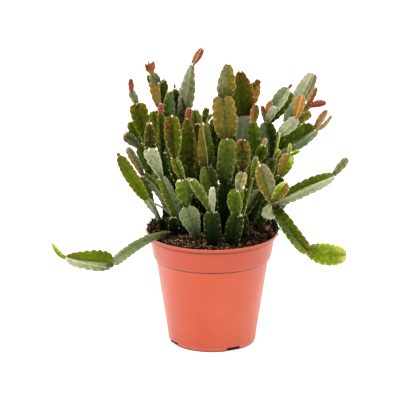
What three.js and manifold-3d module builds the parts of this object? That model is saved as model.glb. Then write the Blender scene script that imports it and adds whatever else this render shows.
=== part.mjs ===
// A potted Rhipsalis agudoensis: a terracotta-coloured nursery pot full of peat, and a bush of jointed stems.
// Millimetres, +Z up, the front is -Y. The origin is the middle of the pot's underside.
import * as THREE from "three";
import { mergeVertices } from "three/addons/utils/BufferGeometryUtils.js";
import Module from "manifold-3d";

// Pot
const potHeight = 104;
const rimRadius = 60;
const lipHeight = 3;
const lipDraft = 0.3;
const lipFillet = 0.6;
const bandTopRadius = 57.6;
const bandBottomRadius = 54.4;
const bandBottom = 80.5;
const bandChamfer = { radius: 0.9, height: 1.5 };
const stepRadius = 51.8;
const stepBottom = 78.5;
const footRadius = 40.2;
const footRound = 1.2;
const wall = 1.4;
const floorThickness = 1.6;
const floorFillet = 2;
const potSegments = 32;
const notchCount = 4;
const notchWidth = 14;
const notchHeight = 3.6;
const notchDepth = 6;
const notchLength = 10;
const firstNotch = -61;

// Soil
const gap = 0.3;
const soilInset = 0.7;
const soilEdge = 101.5;
const soilEdgeDepth = 2;
const soilCrown = 4;
const soilRings = 4;
const heaps = [[46, 9, 12, 11], [-49, 12, 8, 11]];
const ripple = { height: 0.7, alongX: 0.21, alongY: 0.27 };

// Stems
const neckRadius = 2.6;
const neckSides = 6;
const neckDepth = 14;
const neckTop = 3.5;
const holeTop = 10;
const padStart = 2;
const coreRadius = 1.5;
const coreShare = 0.5;
const tuckIn = 2.2;
const basePower = 2.1;
const tipPower = 2.8;
const usualWidest = 0.58;
const usualLift = 0.06;
const scallopDip = 0.18;
const slimmestScalloped = 5;
const stationBunching = 0.5;
const stationsFromWidth = [[14, 7], [8.5, 5], [5, 4], [0, 3]];

// The bush is laid out as it is seen from the front: from 2 m away, looking down by 16 degrees.
const sight = { slope: 16, distance: 2000, across: -11.2, up: 128.3 };

const tints = {
  deep: "#2f4a26", leaf: "#4f7a36", bright: "#7fa648", lime: "#a8b553", sage: "#8a9a78", silver: "#a3aa97",
  olive: "#6b6a3a", bronze: "#6e5335", khaki: "#94804f", amber: "#b0693c", red: "#b4493a", blush: "#c08a73",
};

// One row for each stem: its name, where it is rooted (x, y), and its segments.
// A segment: name, what it grows from, its tip (across and up as seen, and y), width, wings, turn in degrees, tint,
// and where needed how far its middle arches up, and how far along it is widest.
const stems = [
  ["stem_trailing_left", [-34, -14], [
    ["a0", "root", -36.3, 112, -22, 10.5, 2, 0, "deep"],
    ["a1", "root", -93.3, 69.2, -62, 11.5, 2, -20, "sage", 7, 0.8],
    ["a2", "a1", -136, 75, -66, 21, 3, 105, "leaf", -2, 0.42],
    ["a3", "a2", -149, 88, -68, 7, 2, 45, "lime", -4.5],
  ]],
  ["stem_outer_left", [-44, -2], [
    ["b0", "root", -49, 111.5, -8, 9, 2, 10, "deep"],
    ["b1", "b0", -61.5, 130.5, -16, 8.5, 2, 10, "silver", null, 0.7],
    ["b2", "b1", -86.6, 169.3, -34, 12.5, 3, -85, "olive", -1],
    ["b3", "b2", -88.3, 172, -36, 4, 2, 0, "blush"],
  ]],
  ["stem_left_pale", [-30, 4], [
    ["c1", "root", -65, 152, -8, 10, 2, 35, "leaf", 7],
    ["c0", "root", -57, 126, -4, 4, 2, 70, "sage", 4],
    ["c2", "c1", -78, 177, -18, 9, 2, 20, "bronze"],
    ["c3", "c0", -66, 150, -9, 10, 2, 20, "leaf"],
  ]],
  ["stem_left_forked", [-26, 15], [
    ["d1", "root", -58, 152, 20, 14, 2, 10, "leaf"],
    ["d2", "d1", -67, 178, 18, 13, 2, -15, "leaf"],
    ["d3", "d2", -81.5, 188.5, 8, 10.5, 2, 0, "olive"],
    ["d4", "d2", -76, 201, 22, 10, 2, 15, "deep"],
  ]],
  ["stem_left_bronze", [-24, -14], [
    ["e1", "root", -47, 149, -22, 12, 2, 0, "deep"],
    ["e2", "e1", -58, 176.7, -26, 14, 3, -80, "sage", null, 0.64],
    ["e3", "e2", -58, 200, -28, 11.5, 2, 10, "bronze", null, 0.42],
  ]],
  ["stem_left_tall", [-14, 6], [
    ["f1", "root", -34, 137.6, 6, 11, 2, 30, "deep"],
    ["f2", "f1", -61, 178.6, 4, 12, 2, -20, "leaf"],
    ["f3", "f2", -70, 218.5, 4, 17, 3, -90, "bronze", null, 0.64],
    ["f4", "f3", -75.5, 229.5, 2, 8, 2, 10, "silver"],
    ["f5", "f4", -76, 241, 0, 5.5, 2, 0, "red"],
  ]],
  ["stem_crown_left", [-10, 22], [
    ["g1", "root", -30, 137.6, 24, 11, 2, -20, "deep"],
    ["g2", "g1", -39, 175, 26, 11, 3, 80, "leaf"],
    ["g3", "g2", -47.5, 213, 26, 12, 2, 15, "leaf"],
    ["g4", "g3", -49.6, 238, 24, 18.5, 3, 90, "bronze"],
    ["g5", "g4", -56.6, 245.6, 22, 9.5, 2, 0, "sage"],
    ["g6", "g5", -58.4, 254.8, 20, 10, 3, -90, "red", 0, 0.72],
    ["g7", "g3", -59, 244.5, 34, 7, 2, 0, "deep"],
    ["g8", "g4", -43.9, 240.6, 25, 2.4, 2, 0, "blush"],
  ]],
  ["stem_crown_green", [-6, 9], [
    ["h1", "root", -25, 137.6, 10, 11, 2, 25, "deep"],
    ["h2", "h1", -36, 173, 10, 12, 2, -10, "deep"],
    ["h3", "h2", -41, 205.5, 10, 12, 2, 10, "leaf"],
    ["h4", "h3", -39, 229.5, 8, 11.5, 2, 0, "bright", null, 0.38],
  ]],
  ["stem_left_inner", [-21, 2], [
    ["i1", "root", -44, 142, -8, 11, 2, 0, "deep"],
    ["i2", "i1", -46.5, 172, -8, 13, 2, 15, "deep"],
    ["i3", "i2", -48, 209, -10, 10.5, 2, 20, "leaf"],
    ["i4", "i3", -47, 217.6, -12, 5.5, 2, 0, "red"],
    ["i5", "i2", -54.5, 211, 0, 9.5, 2, 10, "leaf"],
  ]],
  ["stem_front_left", [-12, -32], [
    ["j0", "root", -24, 122, -40, 19, 2, 0, "sage", null, 0.72],
    ["j1", "j0", -26, 147, -46, 17, 2, -15, "bright"],
    ["j2", "j1", -36, 168, -42, 9.5, 2, 10, "khaki"],
    ["j3", "j2", -37.2, 206.5, -38, 16.5, 3, -90, "bronze"],
  ]],
  ["stem_crown_middle", [2, 17], [
    ["k1", "root", -20.5, 137.6, 18, 11, 2, -25, "deep"],
    ["k2", "k1", -24, 175, 18, 13, 2, 20, "deep"],
    ["k3", "k2", -26.5, 210, 16, 14, 2, 0, "sage"],
    ["k4", "k3", -35, 231.6, 12, 10, 2, 10, "deep", null, 0.36],
    ["k5", "k4", -35, 236, 12, 2.4, 2, 0, "red"],
    ["k6", "k3", -29, 233, 26, 6, 2, 0, "amber"],
    ["k7", "k3", -18, 255, 14, 15, 3, -84, "sage", null, 0.38],
    ["k8", "k7", -9, 269, 12, 7.5, 3, 90, "red"],
  ]],
  ["stem_middle_green", [4, 27], [
    ["l1", "root", -11.5, 152, 30, 17, 2, 15, "deep"],
    ["l2", "l1", -14, 184, 32, 14, 2, -10, "leaf"],
    ["l3", "l2", -16, 212, 32, 12, 2, 0, "bright"],
  ]],
  ["stem_middle_dark", [-8, -14], [
    ["m1", "root", -20.5, 133, -13, 11, 2, 20, "deep"],
    ["m2", "m1", -22, 163, -14, 13, 2, -15, "olive"],
    ["m3", "m2", -23.5, 205, -16, 17.5, 3, -90, "olive", 0, 0.34],
    ["m4", "m3", -20.5, 213.5, -17, 6, 2, 0, "red"],
    ["m5", "m2", -13, 199, -6, 8, 2, 10, "bronze"],
  ]],
  ["stem_middle_front", [3, -12], [
    ["n1", "root", 0, 131, -22, 9, 2, 0, "deep"],
    ["n2", "n1", -4.5, 159, -26, 17, 2, 10, "deep"],
    ["n3", "n2", -8, 200, -30, 15.5, 3, 90, "bronze", null, 0.42],
    ["n4", "n3", -5, 214, -28, 6.5, 2, 0, "olive"],
    ["n5", "n3", 0, 208, -24, 4, 2, 0, "lime"],
    ["n6", "n2", 3, 204, -12, 12, 2, 0, "deep"],
  ]],
  ["stem_crown_front", [13, -16], [
    ["o1", "root", 12, 145, -18, 17, 2, -10, "deep"],
    ["o2", "o1", 14, 186, -24, 17.5, 3, -90, "leaf"],
    ["o3", "o2", 10.2, 225.5, -30, 22.5, 2, 0, "khaki", null, 0.42],
    ["o4", "o3", 14.8, 255.5, -30, 18, 3, -105, "khaki", 0, 0.42],
    ["o5", "o1", 5, 193, -6, 13, 2, 10, "deep"],
  ]],
  ["stem_crown_right", [17, 4], [
    ["p1", "root", 24, 137.6, 4, 15, 2, 20, "deep"],
    ["p2", "p1", 29, 179.5, 2, 17, 2, -10, "leaf"],
    ["p3", "p2", 29, 209, -2, 16, 2, 0, "sage", null, 0.45],
    ["p4", "p3", 26, 249, -8, 23.5, 3, -95, "bronze", null, 0.4],
    ["p5", "p3", 41.8, 237, 6, 15, 2, 0, "amber", null, 0.45],
    ["p6", "p5", 44, 240, 5, 6, 2, 0, "red"],
    ["p7", "p1", 20, 192, 12, 12, 2, 0, "deep"],
  ]],
  ["stem_front_right", [16, -42], [
    ["q1", "root", 23, 114.4, -46, 16, 2, 0, "deep"],
    ["q2", "q1", 24.5, 137.6, -52, 17, 3, -60, "bright"],
    ["q3", "q2", 29, 154.4, -50, 10.5, 2, 10, "blush"],
    ["q4", "q3", 28, 184, -44, 14.5, 2, 0, "bronze"],
  ]],
  ["stem_front_middle", [1, -44], [
    ["r1", "root", 0, 117, -50, 16, 2, -5, "deep"],
    ["r2", "r1", 0, 139.5, -54, 6.5, 2, 0, "khaki"],
    ["r3", "r1", -20, 147, -58, 10, 2, 20, "bright"],
  ]],
  ["stem_trailing_right", [37, -13], [
    ["s1", "root", 57.5, 126, -34, 10, 2, 0, "deep"],
    ["s2", "s1", 44, 161.8, -46, 16, 3, -90, "khaki"],
    ["s3", "s1", 70, 144, -52, 12, 2, 0, "lime"],
    ["s4", "s1", 113.5, 150.7, -38, 15.5, 3, 90, "leaf", 0.7, 0.42],
    ["s5", "s4", 126, 167, -40, 8, 2, 0, "khaki", 0],
    ["s6", "s1", 89.5, 80.4, -52, 14, 2, 0, "leaf", -2.2, 0.6],
    ["s7", "s6", 125, 78, -56, 20.5, 2, 0, "lime", -2.5, 0.5],
    ["s8", "s1", 50.5, 111.5, -30, 13, 2, 0, "lime"],
    ["s9", "s1", 68, 122.5, -28, 8, 2, 0, "sage"],
  ]],
  ["stem_right_slim", [28, -28], [
    ["t1", "root", 29, 115, -30, 10, 2, 0, "deep"],
    ["t2", "t1", 44, 137, -26, 9, 2, 0, "deep"],
    ["t3", "t1", 38, 149, -28, 8, 2, 80, "bright"],
    ["t4", "t3", 41, 168, -30, 6, 2, 0, "lime"],
  ]],
  ["stem_right_tall", [29, 8], [
    ["u1", "root", 46.5, 133, 4, 11, 2, 20, "deep"],
    ["u2", "u1", 55, 165.5, 2, 12, 2, -10, "leaf"],
    ["u3", "u2", 50.2, 201.3, 4, 16.5, 3, -90, "sage"],
    ["u4", "u3", 54.5, 220.5, 2, 8.5, 2, 0, "amber"],
    ["u7", "u3", 58.5, 214.8, 0, 8, 2, 0, "sage"],
    ["u5", "u3", 71, 232.5, 6, 14, 3, -60, "sage", 0],
    ["u6", "u5", 74.5, 236, 8, 3, 2, 0, "blush"],
    ["u8", "u3", 73.5, 228.5, 17, 12, 2, 0, "deep", -2],
    ["u9", "u3", 46.5, 216, 2, 5, 2, 0, "red"],
  ]],
  ["stem_outer_right_dark", [38, 13], [
    ["v1", "root", 52, 135, 13, 11, 2, -20, "deep"],
    ["v2", "v1", 61.4, 173, 10, 12, 2, 10, "leaf"],
    ["v3", "v2", 96.3, 194, -2, 20, 3, 80, "deep", 1],
    ["v4", "v3", 107, 212, -4, 7, 2, 0, "amber"],
    ["v5", "v3", 111.5, 207, -8, 4.5, 2, 0, "khaki", -3],
  ]],
  ["stem_right_young", [41, -2], [
    ["w1", "root", 52, 128, -19, 8, 2, 0, "deep"],
    ["w2", "w1", 64, 150, -24, 12, 2, 0, "deep"],
    ["w3", "w2", 72.5, 170.5, -26, 14, 2, 0, "olive"],
    ["w4", "w3", 72.5, 181, -26, 3.5, 2, 0, "lime"],
    ["w5", "w3", 82, 174, -28, 4, 2, 0, "bright"],
  ]],
  ["stem_right_red_tip", [32, -4], [
    ["x1", "root", 50, 141, -4, 9, 2, 20, "deep"],
    ["x2", "x1", 58, 167, -12, 10, 2, -10, "leaf"],
    ["x3", "x2", 63, 190, -14, 8, 2, 80, "lime"],
    ["x4", "x2", 63, 175, -20, 4.5, 2, 0, "lime"],
    ["x6", "x3", 79, 204.6, -14, 11.5, 2, 0, "sage", 0],
    ["x7", "x6", 84, 226, -12, 11, 3, 90, "red"],
    ["x8", "x3", 92, 209, -8, 10, 2, 0, "khaki"],
  ]],
  ["stem_right_green", [22, -7], [
    ["y1", "root", 35, 137.6, -10, 13, 2, -20, "deep"],
    ["y2", "y1", 42.5, 164, -14, 15, 2, 10, "leaf"],
    ["y3", "y2", 38, 201, -14, 12, 2, 0, "bright"],
    ["y7", "y2", 48.5, 179, -22, 11, 2, 0, "leaf"],
    ["y4", "y7", 50, 185.5, -22, 5, 2, 0, "blush"],
    ["y5", "y3", 41, 217, -12, 8.5, 2, 0, "blush"],
    ["y8", "y3", 37.7, 213.9, -10, 5, 2, 0, "bronze"],
  ]],
  ["stem_outer_right", [30, 24], [
    ["z1", "root", 48, 142, 24, 11, 2, 10, "deep"],
    ["z2", "z1", 69.8, 200, 27, 12, 2, -10, "leaf"],
    ["z3", "z2", 94.4, 245.5, 34, 15.5, 3, -50, "sage", 0],
    ["z4", "z2", 90, 216, 15, 9, 2, 0, "olive"],
    ["z5", "z4", 97, 233, 13, 6.5, 2, 0, "red"],
    ["z6", "z4", 106, 218.5, 8, 7, 2, 0, "red"],
  ]],
  ["stem_back_1", [-34, 24], [
    ["ba1", "root", -50, 140, 42, 10, 2, 10, "deep"],
    ["ba2", "ba1", -60, 176, 52, 13, 3, 90, "leaf"],
    ["ba3", "ba2", -66, 210, 54, 14, 2, 0, "olive"],
  ]],
  ["stem_back_2", [-19, 34], [
    ["bb1", "root", -30, 150, 54, 10, 2, -10, "deep"],
    ["bb2", "bb1", -42, 190, 64, 16, 3, 90, "leaf"],
    ["bb3", "bb2", -46, 222, 66, 13, 2, 15, "bronze"],
    ["bb4", "bb2", -33, 222, 60, 12, 2, 0, "leaf"],
  ]],
  ["stem_back_3", [-4, 38], [
    ["bc1", "root", -2, 146, 58, 13, 2, 0, "deep"],
    ["bc2", "bc1", -1.5, 182, 68, 17, 2, 10, "leaf"],
    ["bc3", "bc2", -12, 207, 70, 13, 3, 90, "bright"],
  ]],
  ["stem_back_4", [15, 34], [
    ["bd1", "root", 15, 150, 48, 12, 2, 15, "deep"],
    ["bd2", "bd1", 14, 190, 54, 17, 3, 90, "leaf"],
    ["bd3", "bd2", 10, 222, 52, 14, 2, 0, "khaki"],
  ]],
  ["stem_back_5", [31, 36], [
    ["be1", "root", 38, 150, 50, 14, 2, 0, "deep"],
    ["be2", "be1", 33, 182, 56, 14, 3, 90, "leaf"],
    ["be3", "be2", 34, 207, 58, 13, 2, 10, "sage"],
  ]],
  ["stem_back_6", [44, 22], [
    ["bf1", "root", 56, 132, 40, 10, 2, 10, "deep"],
    ["bf2", "bf1", 64, 166, 46, 13, 3, 90, "leaf"],
    ["bf3", "bf2", 57, 191, 50, 10, 2, 0, "bright"],
    ["bf4", "bf1", 49, 176, 44, 13, 2, 0, "deep"],
  ]],
  ["stem_back_7", [-42, 16], [
    ["bg1", "root", -41, 130, 26, 9, 2, 10, "deep"],
    ["bg2", "bg1", -58, 156, 30, 12, 3, 90, "sage"],
  ]],
  ["stem_back_8", [-28, 40], [
    ["bh1", "root", -40, 130, 66, 14, 2, 0, "leaf", 5],
    ["bh2", "bh1", -52, 142, 88, 13, 3, 90, "bright"],
  ]],
  ["stem_back_9", [6, 48], [
    ["bi1", "root", 6, 126, 74, 16, 2, 0, "leaf", 4],
    ["bi2", "bi1", 10, 144, 92, 14, 3, 90, "leaf"],
    ["bi3", "bi2", 8, 162, 96, 8, 2, 10, "deep"],
  ]],
  ["stem_back_10", [22, 44], [
    ["bj1", "root", 40, 128, 66, 13, 2, 0, "leaf", 5],
    ["bj2", "bj1", 54, 138, 86, 14, 3, 90, "olive"],
    ["bj3", "bj2", 60, 148, 94, 8, 2, 0, "khaki"],
  ]],
];

const wasm = await Module();
wasm.setup();
const mergeDistance = 1e-5;

function toSolid(geometry) {
  const bare = geometry.clone();
  bare.deleteAttribute("normal");
  bare.deleteAttribute("uv");
  const merged = mergeVertices(bare, mergeDistance);
  const vertProperties = new Float32Array(merged.attributes.position.array);
  const triVerts = new Uint32Array(merged.index.array);
  return new wasm.Manifold(new wasm.Mesh({ numProp: 3, vertProperties, triVerts }));
}

function toGeometry(solid) {
  const { vertProperties, triVerts } = solid.getMesh();
  const geometry = new THREE.BufferGeometry();
  geometry.setAttribute("position", new THREE.BufferAttribute(new Float32Array(vertProperties), 3));
  geometry.setIndex(new THREE.BufferAttribute(new Uint32Array(triVerts), 1));
  geometry.computeVertexNormals();
  return geometry;
}

function named(name, solid, color, roughness) {
  const material = new THREE.MeshStandardMaterial({ color, roughness, metalness: 0, flatShading: true });
  const mesh = new THREE.Mesh(toGeometry(solid), material);
  mesh.name = name;
  return mesh;
}

// A lathe turns about Y, so it is tipped up to turn about Z.
function turned(outline, segments) {
  const points = outline.map(([radius, z]) => new THREE.Vector2(radius, z));
  return new THREE.LatheGeometry(points, segments).rotateX(Math.PI / 2);
}

function potInside() {
  return [
    [0, floorThickness],
    [footRadius - wall - floorFillet, floorThickness],
    [footRadius - wall, floorThickness + floorFillet],
    [stepRadius - wall, stepBottom],
    [bandBottomRadius - wall, bandBottom + wall],
    [bandTopRadius - wall, potHeight - lipHeight],
    [rimRadius - wall, potHeight],
  ];
}

function potSolid() {
  const outside = [
    [rimRadius, potHeight],
    [rimRadius - lipDraft, potHeight - lipHeight],
    [bandTopRadius, potHeight - lipHeight - lipFillet],
    [bandBottomRadius, bandBottom + bandChamfer.height],
    [bandBottomRadius - bandChamfer.radius, bandBottom],
    [stepRadius, stepBottom],
    [footRadius, footRound * 2],
    [footRadius - footRound, 0],
    [0, 0],
  ];
  let pot = toSolid(turned([...potInside(), ...outside].reverse(), potSegments));
  for (let i = 0; i < notchCount; i++) {
    const notch = new THREE.BoxGeometry(notchLength, notchWidth, notchHeight * 2);
    notch.translate(footRadius - notchDepth + notchLength / 2, 0, 0);
    notch.rotateZ(THREE.MathUtils.degToRad(firstNotch + (i * 360) / notchCount));
    pot = pot.subtract(toSolid(notch));
  }
  return pot;
}

const soilRadius = bandTopRadius - wall - soilInset;

function soilTop(x, y) {
  const fullness = 1 - (x * x + y * y) / (soilRadius * soilRadius);
  let z = soilEdge + soilCrown * fullness;
  for (const [heapX, heapY, height, spread] of heaps) {
    z += height * Math.exp(-((x - heapX) ** 2 + (y - heapY) ** 2) / (2 * spread * spread));
  }
  return z + ripple.height * Math.sin(x * ripple.alongX + 1) * Math.cos(y * ripple.alongY);
}

// The soil fills the pot up to the band, and its top is then raised to the heaped and rippled surface.
function soilSolid() {
  const side = potInside().slice(1, 5).map(([radius, z]) => [radius - gap, z + gap]);
  const rings = [];
  for (let i = 0; i < soilRings; i++) rings.push([soilRadius * (1 - i / soilRings), soilEdge]);
  const bottom = [0, floorThickness + gap];
  const shoulder = [soilRadius, soilEdge - soilEdgeDepth];
  const geometry = turned([bottom, ...side, shoulder, ...rings, [0, soilEdge]], potSegments);
  const position = geometry.attributes.position;
  for (let i = 0; i < position.count; i++) {
    if (position.getZ(i) <= shoulder[1] + mergeDistance) continue;
    position.setZ(i, soilTop(position.getX(i), position.getY(i)));
  }
  let soil = toSolid(geometry);
  const holeRadius = neckRadius + gap / Math.cos(Math.PI / neckSides);
  for (const [, [x, y]] of stems) {
    const top = soilTop(x, y);
    soil = soil.subtract(upright(x, y, top - neckDepth - gap, top + holeTop, holeRadius));
  }
  return soil;
}

function upright(x, y, bottom, top, radius) {
  const post = new THREE.CylinderGeometry(radius, radius, top - bottom, neckSides).rotateX(Math.PI / 2);
  return toSolid(post.translate(x, y, (top + bottom) / 2));
}

// Where the eye stands, and the point at depth y that it sees at a place on the plane through the origin.
const slope = THREE.MathUtils.degToRad(sight.slope);
const onPlane = (across, up) => new THREE.Vector3(across, up * Math.sin(slope), up * Math.cos(slope));
const lookAlong = new THREE.Vector3(0, Math.cos(slope), -Math.sin(slope));
const eye = onPlane(sight.across, sight.up).addScaledVector(lookAlong, -sight.distance);

function seenAt(across, up, y) {
  const target = onPlane(across, up);
  return eye.clone().lerp(target, (y - eye.y) / (target.y - eye.y));
}

// One segment of a stem: a midline from base to tip, and two or three thin wings with scalloped edges.
function padGeometry(base, tip, width, wings, turn, lift, widest) {
  const run = Math.hypot(tip.x - base.x, tip.y - base.y);
  const bend = base.clone().lerp(tip, 0.5);
  bend.z += 2 * (lift ?? usualLift * run);
  const midline = new THREE.QuadraticBezierCurve3(base, bend, tip);
  const toward = eye.clone().sub(bend).normalize();
  const reach = wings === 2 ? width / 2 : width / Math.sqrt(3);
  const core = Math.min(coreRadius, reach * coreShare);
  const stations = stationsFromWidth.find(([over]) => width > over)[1];
  const skew = Math.log(0.5) / Math.log(widest ?? usualWidest);
  const rings = [];
  for (let station = 0; station <= stations; station++) {
    const even = station / stations;
    const bunched = (1 - Math.cos(Math.PI * even)) / 2;
    const t = even + (bunched - even) * stationBunching;
    const along = midline.getTangent(t);
    const front = toward.clone().addScaledVector(along, -toward.dot(along)).normalize();
    const side = along.clone().cross(front);
    const power = t ** skew < 0.5 ? basePower : tipPower;
    const fullness = (1 - Math.abs(2 * t ** skew - 1) ** power) ** (1 / power);
    const ring = [];
    for (let corner = 0; corner < 2 * wings; corner++) {
      const wing = corner / 2;
      const dip = width > slimmestScalloped && (station + wing) % 2 === 1 ? scallopDip : 0;
      const radius = corner % 2 === 0 ? core + (reach - core) * fullness * (1 - dip) : core;
      const angle = THREE.MathUtils.degToRad(turn) + (corner * Math.PI) / wings;
      const point = midline.getPoint(t).addScaledVector(side, radius * Math.cos(angle));
      ring.push(point.addScaledVector(front, radius * Math.sin(angle)));
    }
    rings.push(ring);
  }
  return skin(rings);
}

// Closes a run of equal rings. Each face is split from its wing edge below to its rib above, on both sides alike.
function skin(rings) {
  const sides = rings[0].length;
  const last = rings.length - 1;
  const at = (ring, corner) => ring * sides + (corner % sides);
  const faces = [];
  for (let ring = 0; ring < last; ring++) {
    for (let corner = 0; corner < sides; corner++) {
      const [a, b] = [at(ring, corner), at(ring, corner + 1)];
      const [c, d] = [at(ring + 1, corner), at(ring + 1, corner + 1)];
      faces.push(...(corner % 2 === 0 ? [a, c, d, a, d, b] : [a, c, b, c, d, b]));
    }
  }
  for (let corner = 1; corner < sides - 1; corner++) {
    faces.push(at(0, 0), at(0, corner), at(0, corner + 1));
    faces.push(at(last, 0), at(last, corner + 1), at(last, corner));
  }
  const geometry = new THREE.BufferGeometry();
  geometry.setAttribute("position", new THREE.Float32BufferAttribute(rings.flat().flatMap((p) => p.toArray()), 3));
  geometry.setIndex(faces);
  return geometry;
}

function stemPads([, [x, y], pads]) {
  const tips = { root: new THREE.Vector3(x, y, soilTop(x, y) + padStart) };
  const starts = { root: tips.root };
  return pads.map(([id, from, across, up, back, width, wings, turn, , lift, widest]) => {
    const tip = seenAt(across, up, back);
    const backStep = starts[from].clone().sub(tips[from]).setLength(from === "root" ? 0 : tuckIn);
    const base = tips[from].clone().add(backStep);
    starts[id] = base;
    tips[id] = tip;
    return toSolid(padGeometry(base, tip, width, wings, turn, lift, widest));
  });
}

function stemSolid(stem) {
  const [, [x, y]] = stem;
  const neck = upright(x, y, soilTop(x, y) - neckDepth, soilTop(x, y) + neckTop, neckRadius);
  return stemPads(stem).reduce((whole, pad) => whole.add(pad), neck);
}

const plant = new THREE.Group();
plant.add(named("pot", potSolid(), "#e8694a", 0.6));
plant.add(named("soil", soilSolid(), "#33231a", 0.95));
for (const stem of stems) {
  const widestPad = stem[2].reduce((best, pad) => (pad[5] > best[5] ? pad : best));
  plant.add(named(stem[0], stemSolid(stem), tints[widestPad[8]], 0.5));
}

export default plant;
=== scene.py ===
import math
import bpy
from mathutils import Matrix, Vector


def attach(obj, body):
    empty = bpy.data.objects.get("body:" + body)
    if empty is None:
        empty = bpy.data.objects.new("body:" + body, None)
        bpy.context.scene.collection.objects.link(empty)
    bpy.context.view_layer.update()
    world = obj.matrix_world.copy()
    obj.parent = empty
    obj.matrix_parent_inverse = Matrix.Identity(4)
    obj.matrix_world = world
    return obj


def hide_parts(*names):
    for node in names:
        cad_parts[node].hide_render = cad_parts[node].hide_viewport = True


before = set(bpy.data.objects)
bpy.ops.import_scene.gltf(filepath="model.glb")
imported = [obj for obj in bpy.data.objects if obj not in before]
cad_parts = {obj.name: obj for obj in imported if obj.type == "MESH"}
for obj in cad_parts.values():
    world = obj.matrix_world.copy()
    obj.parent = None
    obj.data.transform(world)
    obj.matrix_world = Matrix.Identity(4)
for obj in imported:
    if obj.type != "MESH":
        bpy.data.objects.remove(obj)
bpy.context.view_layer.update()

# A potted Rhipsalis agudoensis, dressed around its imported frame. Blender works in metres, +Z is up and the
# front is at -Y. The sizes in the dictionaries are in mm, unless a note says otherwise.
mm = 0.001
scene = bpy.context.scene
body = "root"
print("frame loaded, nodes:", len(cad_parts))


# Small helpers for node trees

def colour(code):  # a screen colour, as the shader wants it
    parts = [int(code[i:i + 2], 16) / 255 for i in (1, 3, 5)]
    return [c / 12.92 if c <= 0.04045 else ((c + 0.055) / 1.055) ** 2.4 for c in parts] + [1.0]


class Wire:  # an output of a node that can stand in a sum
    def __init__(self, tree, socket):
        self.tree, self.socket = tree, socket
        self.isVector = socket.type == "VECTOR"

    def __add__(self, other):
        return maths("ADD", self, other)

    def __radd__(self, other):
        return maths("ADD", other, self)

    def __sub__(self, other):
        return maths("SUBTRACT", self, other)

    def __rsub__(self, other):
        return maths("SUBTRACT", other, self)

    def __mul__(self, other):
        bothVectors = self.isVector and isVector(other)
        return maths("SCALE" if self.isVector and not bothVectors else "MULTIPLY", self, other)

    def __truediv__(self, other):
        return maths("DIVIDE", self, other)

    def __rtruediv__(self, other):
        return maths("DIVIDE", other, self)

    def __pow__(self, other):
        return maths("POWER", self, other)


def isVector(value):
    return value.isVector if isinstance(value, Wire) else isinstance(value, (tuple, Vector))


def plug(socket, value):
    if isinstance(value, Wire):
        value.tree.links.new(value.socket, socket)
    else:
        socket.default_value = value


def maths(operation, *values):
    tree = next(v.tree for v in values if isinstance(v, Wire))
    node = tree.nodes.new("ShaderNodeVectorMath" if any(map(isVector, values)) else "ShaderNodeMath")
    node.operation = operation
    sockets = [node.inputs[0], node.inputs["Scale"]] if operation == "SCALE" else node.inputs
    for socket, value in zip(sockets, values):
        plug(socket, value)
    isNumber = operation in ("DOT_PRODUCT", "LENGTH")
    return Wire(tree, node.outputs["Value"] if isNumber else node.outputs[0])


def pick(sockets, name):  # the socket of that name that the node's present settings use
    return next(s for s in sockets if s.name == name and s.enabled)


def add(tree, kind, inputs=(), out=None, **settings):
    node = tree.nodes.new(kind)
    for name, value in settings.items():
        setattr(node, name, value)
    for name, value in dict(inputs).items():
        plug(pick(node.inputs, name), value)
    return Wire(tree, pick(node.outputs, out) if out else next(s for s in node.outputs if s.enabled))


def coordinate(vector, letter):
    return add(vector.tree, "ShaderNodeSeparateXYZ", {"Vector": vector}, out=letter)


def combine(tree, x, y, z):
    return add(tree, "ShaderNodeCombineXYZ", {"X": x, "Y": y, "Z": z})


def position(tree):
    return add(tree, "GeometryNodeInputPosition")


def named(tree, name, kind="FLOAT"):
    return add(tree, "GeometryNodeInputNamedAttribute", {"Name": name}, data_type=kind)


def store(geometry, name, value, kind=None):
    inputs = {"Geometry": geometry, "Name": name, "Value": value}
    kind = kind or ("FLOAT_VECTOR" if value.isVector else "FLOAT")
    return add(geometry.tree, "GeometryNodeStoreNamedAttribute", inputs, data_type=kind, domain="POINT")


def randomBetween(tree, low, high, seed):
    kind = "FLOAT_VECTOR" if isVector(low) else "FLOAT"
    return add(tree, "FunctionNodeRandomValue", {"Min": low, "Max": high, "Seed": seed}, data_type=kind)


def randomVector(tree, limit, seed):  # each coordinate between minus the limit and the limit
    return randomBetween(tree, (-limit, -limit, -limit), (limit, limit, limit), seed)


def compare(a, operation, b):
    return add(a.tree, "FunctionNodeCompare", {"A": a, "B": b}, data_type="FLOAT", operation=operation)


def both(a, b):
    node = a.tree.nodes.new("FunctionNodeBooleanMath")
    plug(node.inputs[0], a)
    plug(node.inputs[1], b)
    return Wire(a.tree, node.outputs[0])


def moved(geometry, **inputs):
    return add(geometry.tree, "GeometryNodeSetPosition", {"Geometry": geometry, **inputs})


def merged(geometry, distance):
    inputs = {"Geometry": geometry, "Distance": distance * mm}
    return add(geometry.tree, "GeometryNodeMergeByDistance", inputs)


def aligned(direction, letter):  # the rotation that brings this axis of a shape into a direction
    return add(direction.tree, "FunctionNodeAlignRotationToVector", {"Vector": direction}, axis=letter)


def copies(points, shape, **inputs):  # the shape on each point
    return add(points.tree, "GeometryNodeInstanceOnPoints", {"Points": points, "Instance": shape, **inputs})


def realized(geometry):
    return add(geometry.tree, "GeometryNodeRealizeInstances", {"Geometry": geometry})


def joined(*geometries):
    node = geometries[0].tree.nodes.new("GeometryNodeJoinGeometry")
    for geometry in geometries:
        plug(node.inputs[0], geometry)
    return Wire(geometries[0].tree, node.outputs[0])


def painted(geometry, material, selection=True):
    inputs = {"Geometry": geometry, "Material": material, "Selection": selection}
    return add(geometry.tree, "GeometryNodeSetMaterial", inputs)


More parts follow.
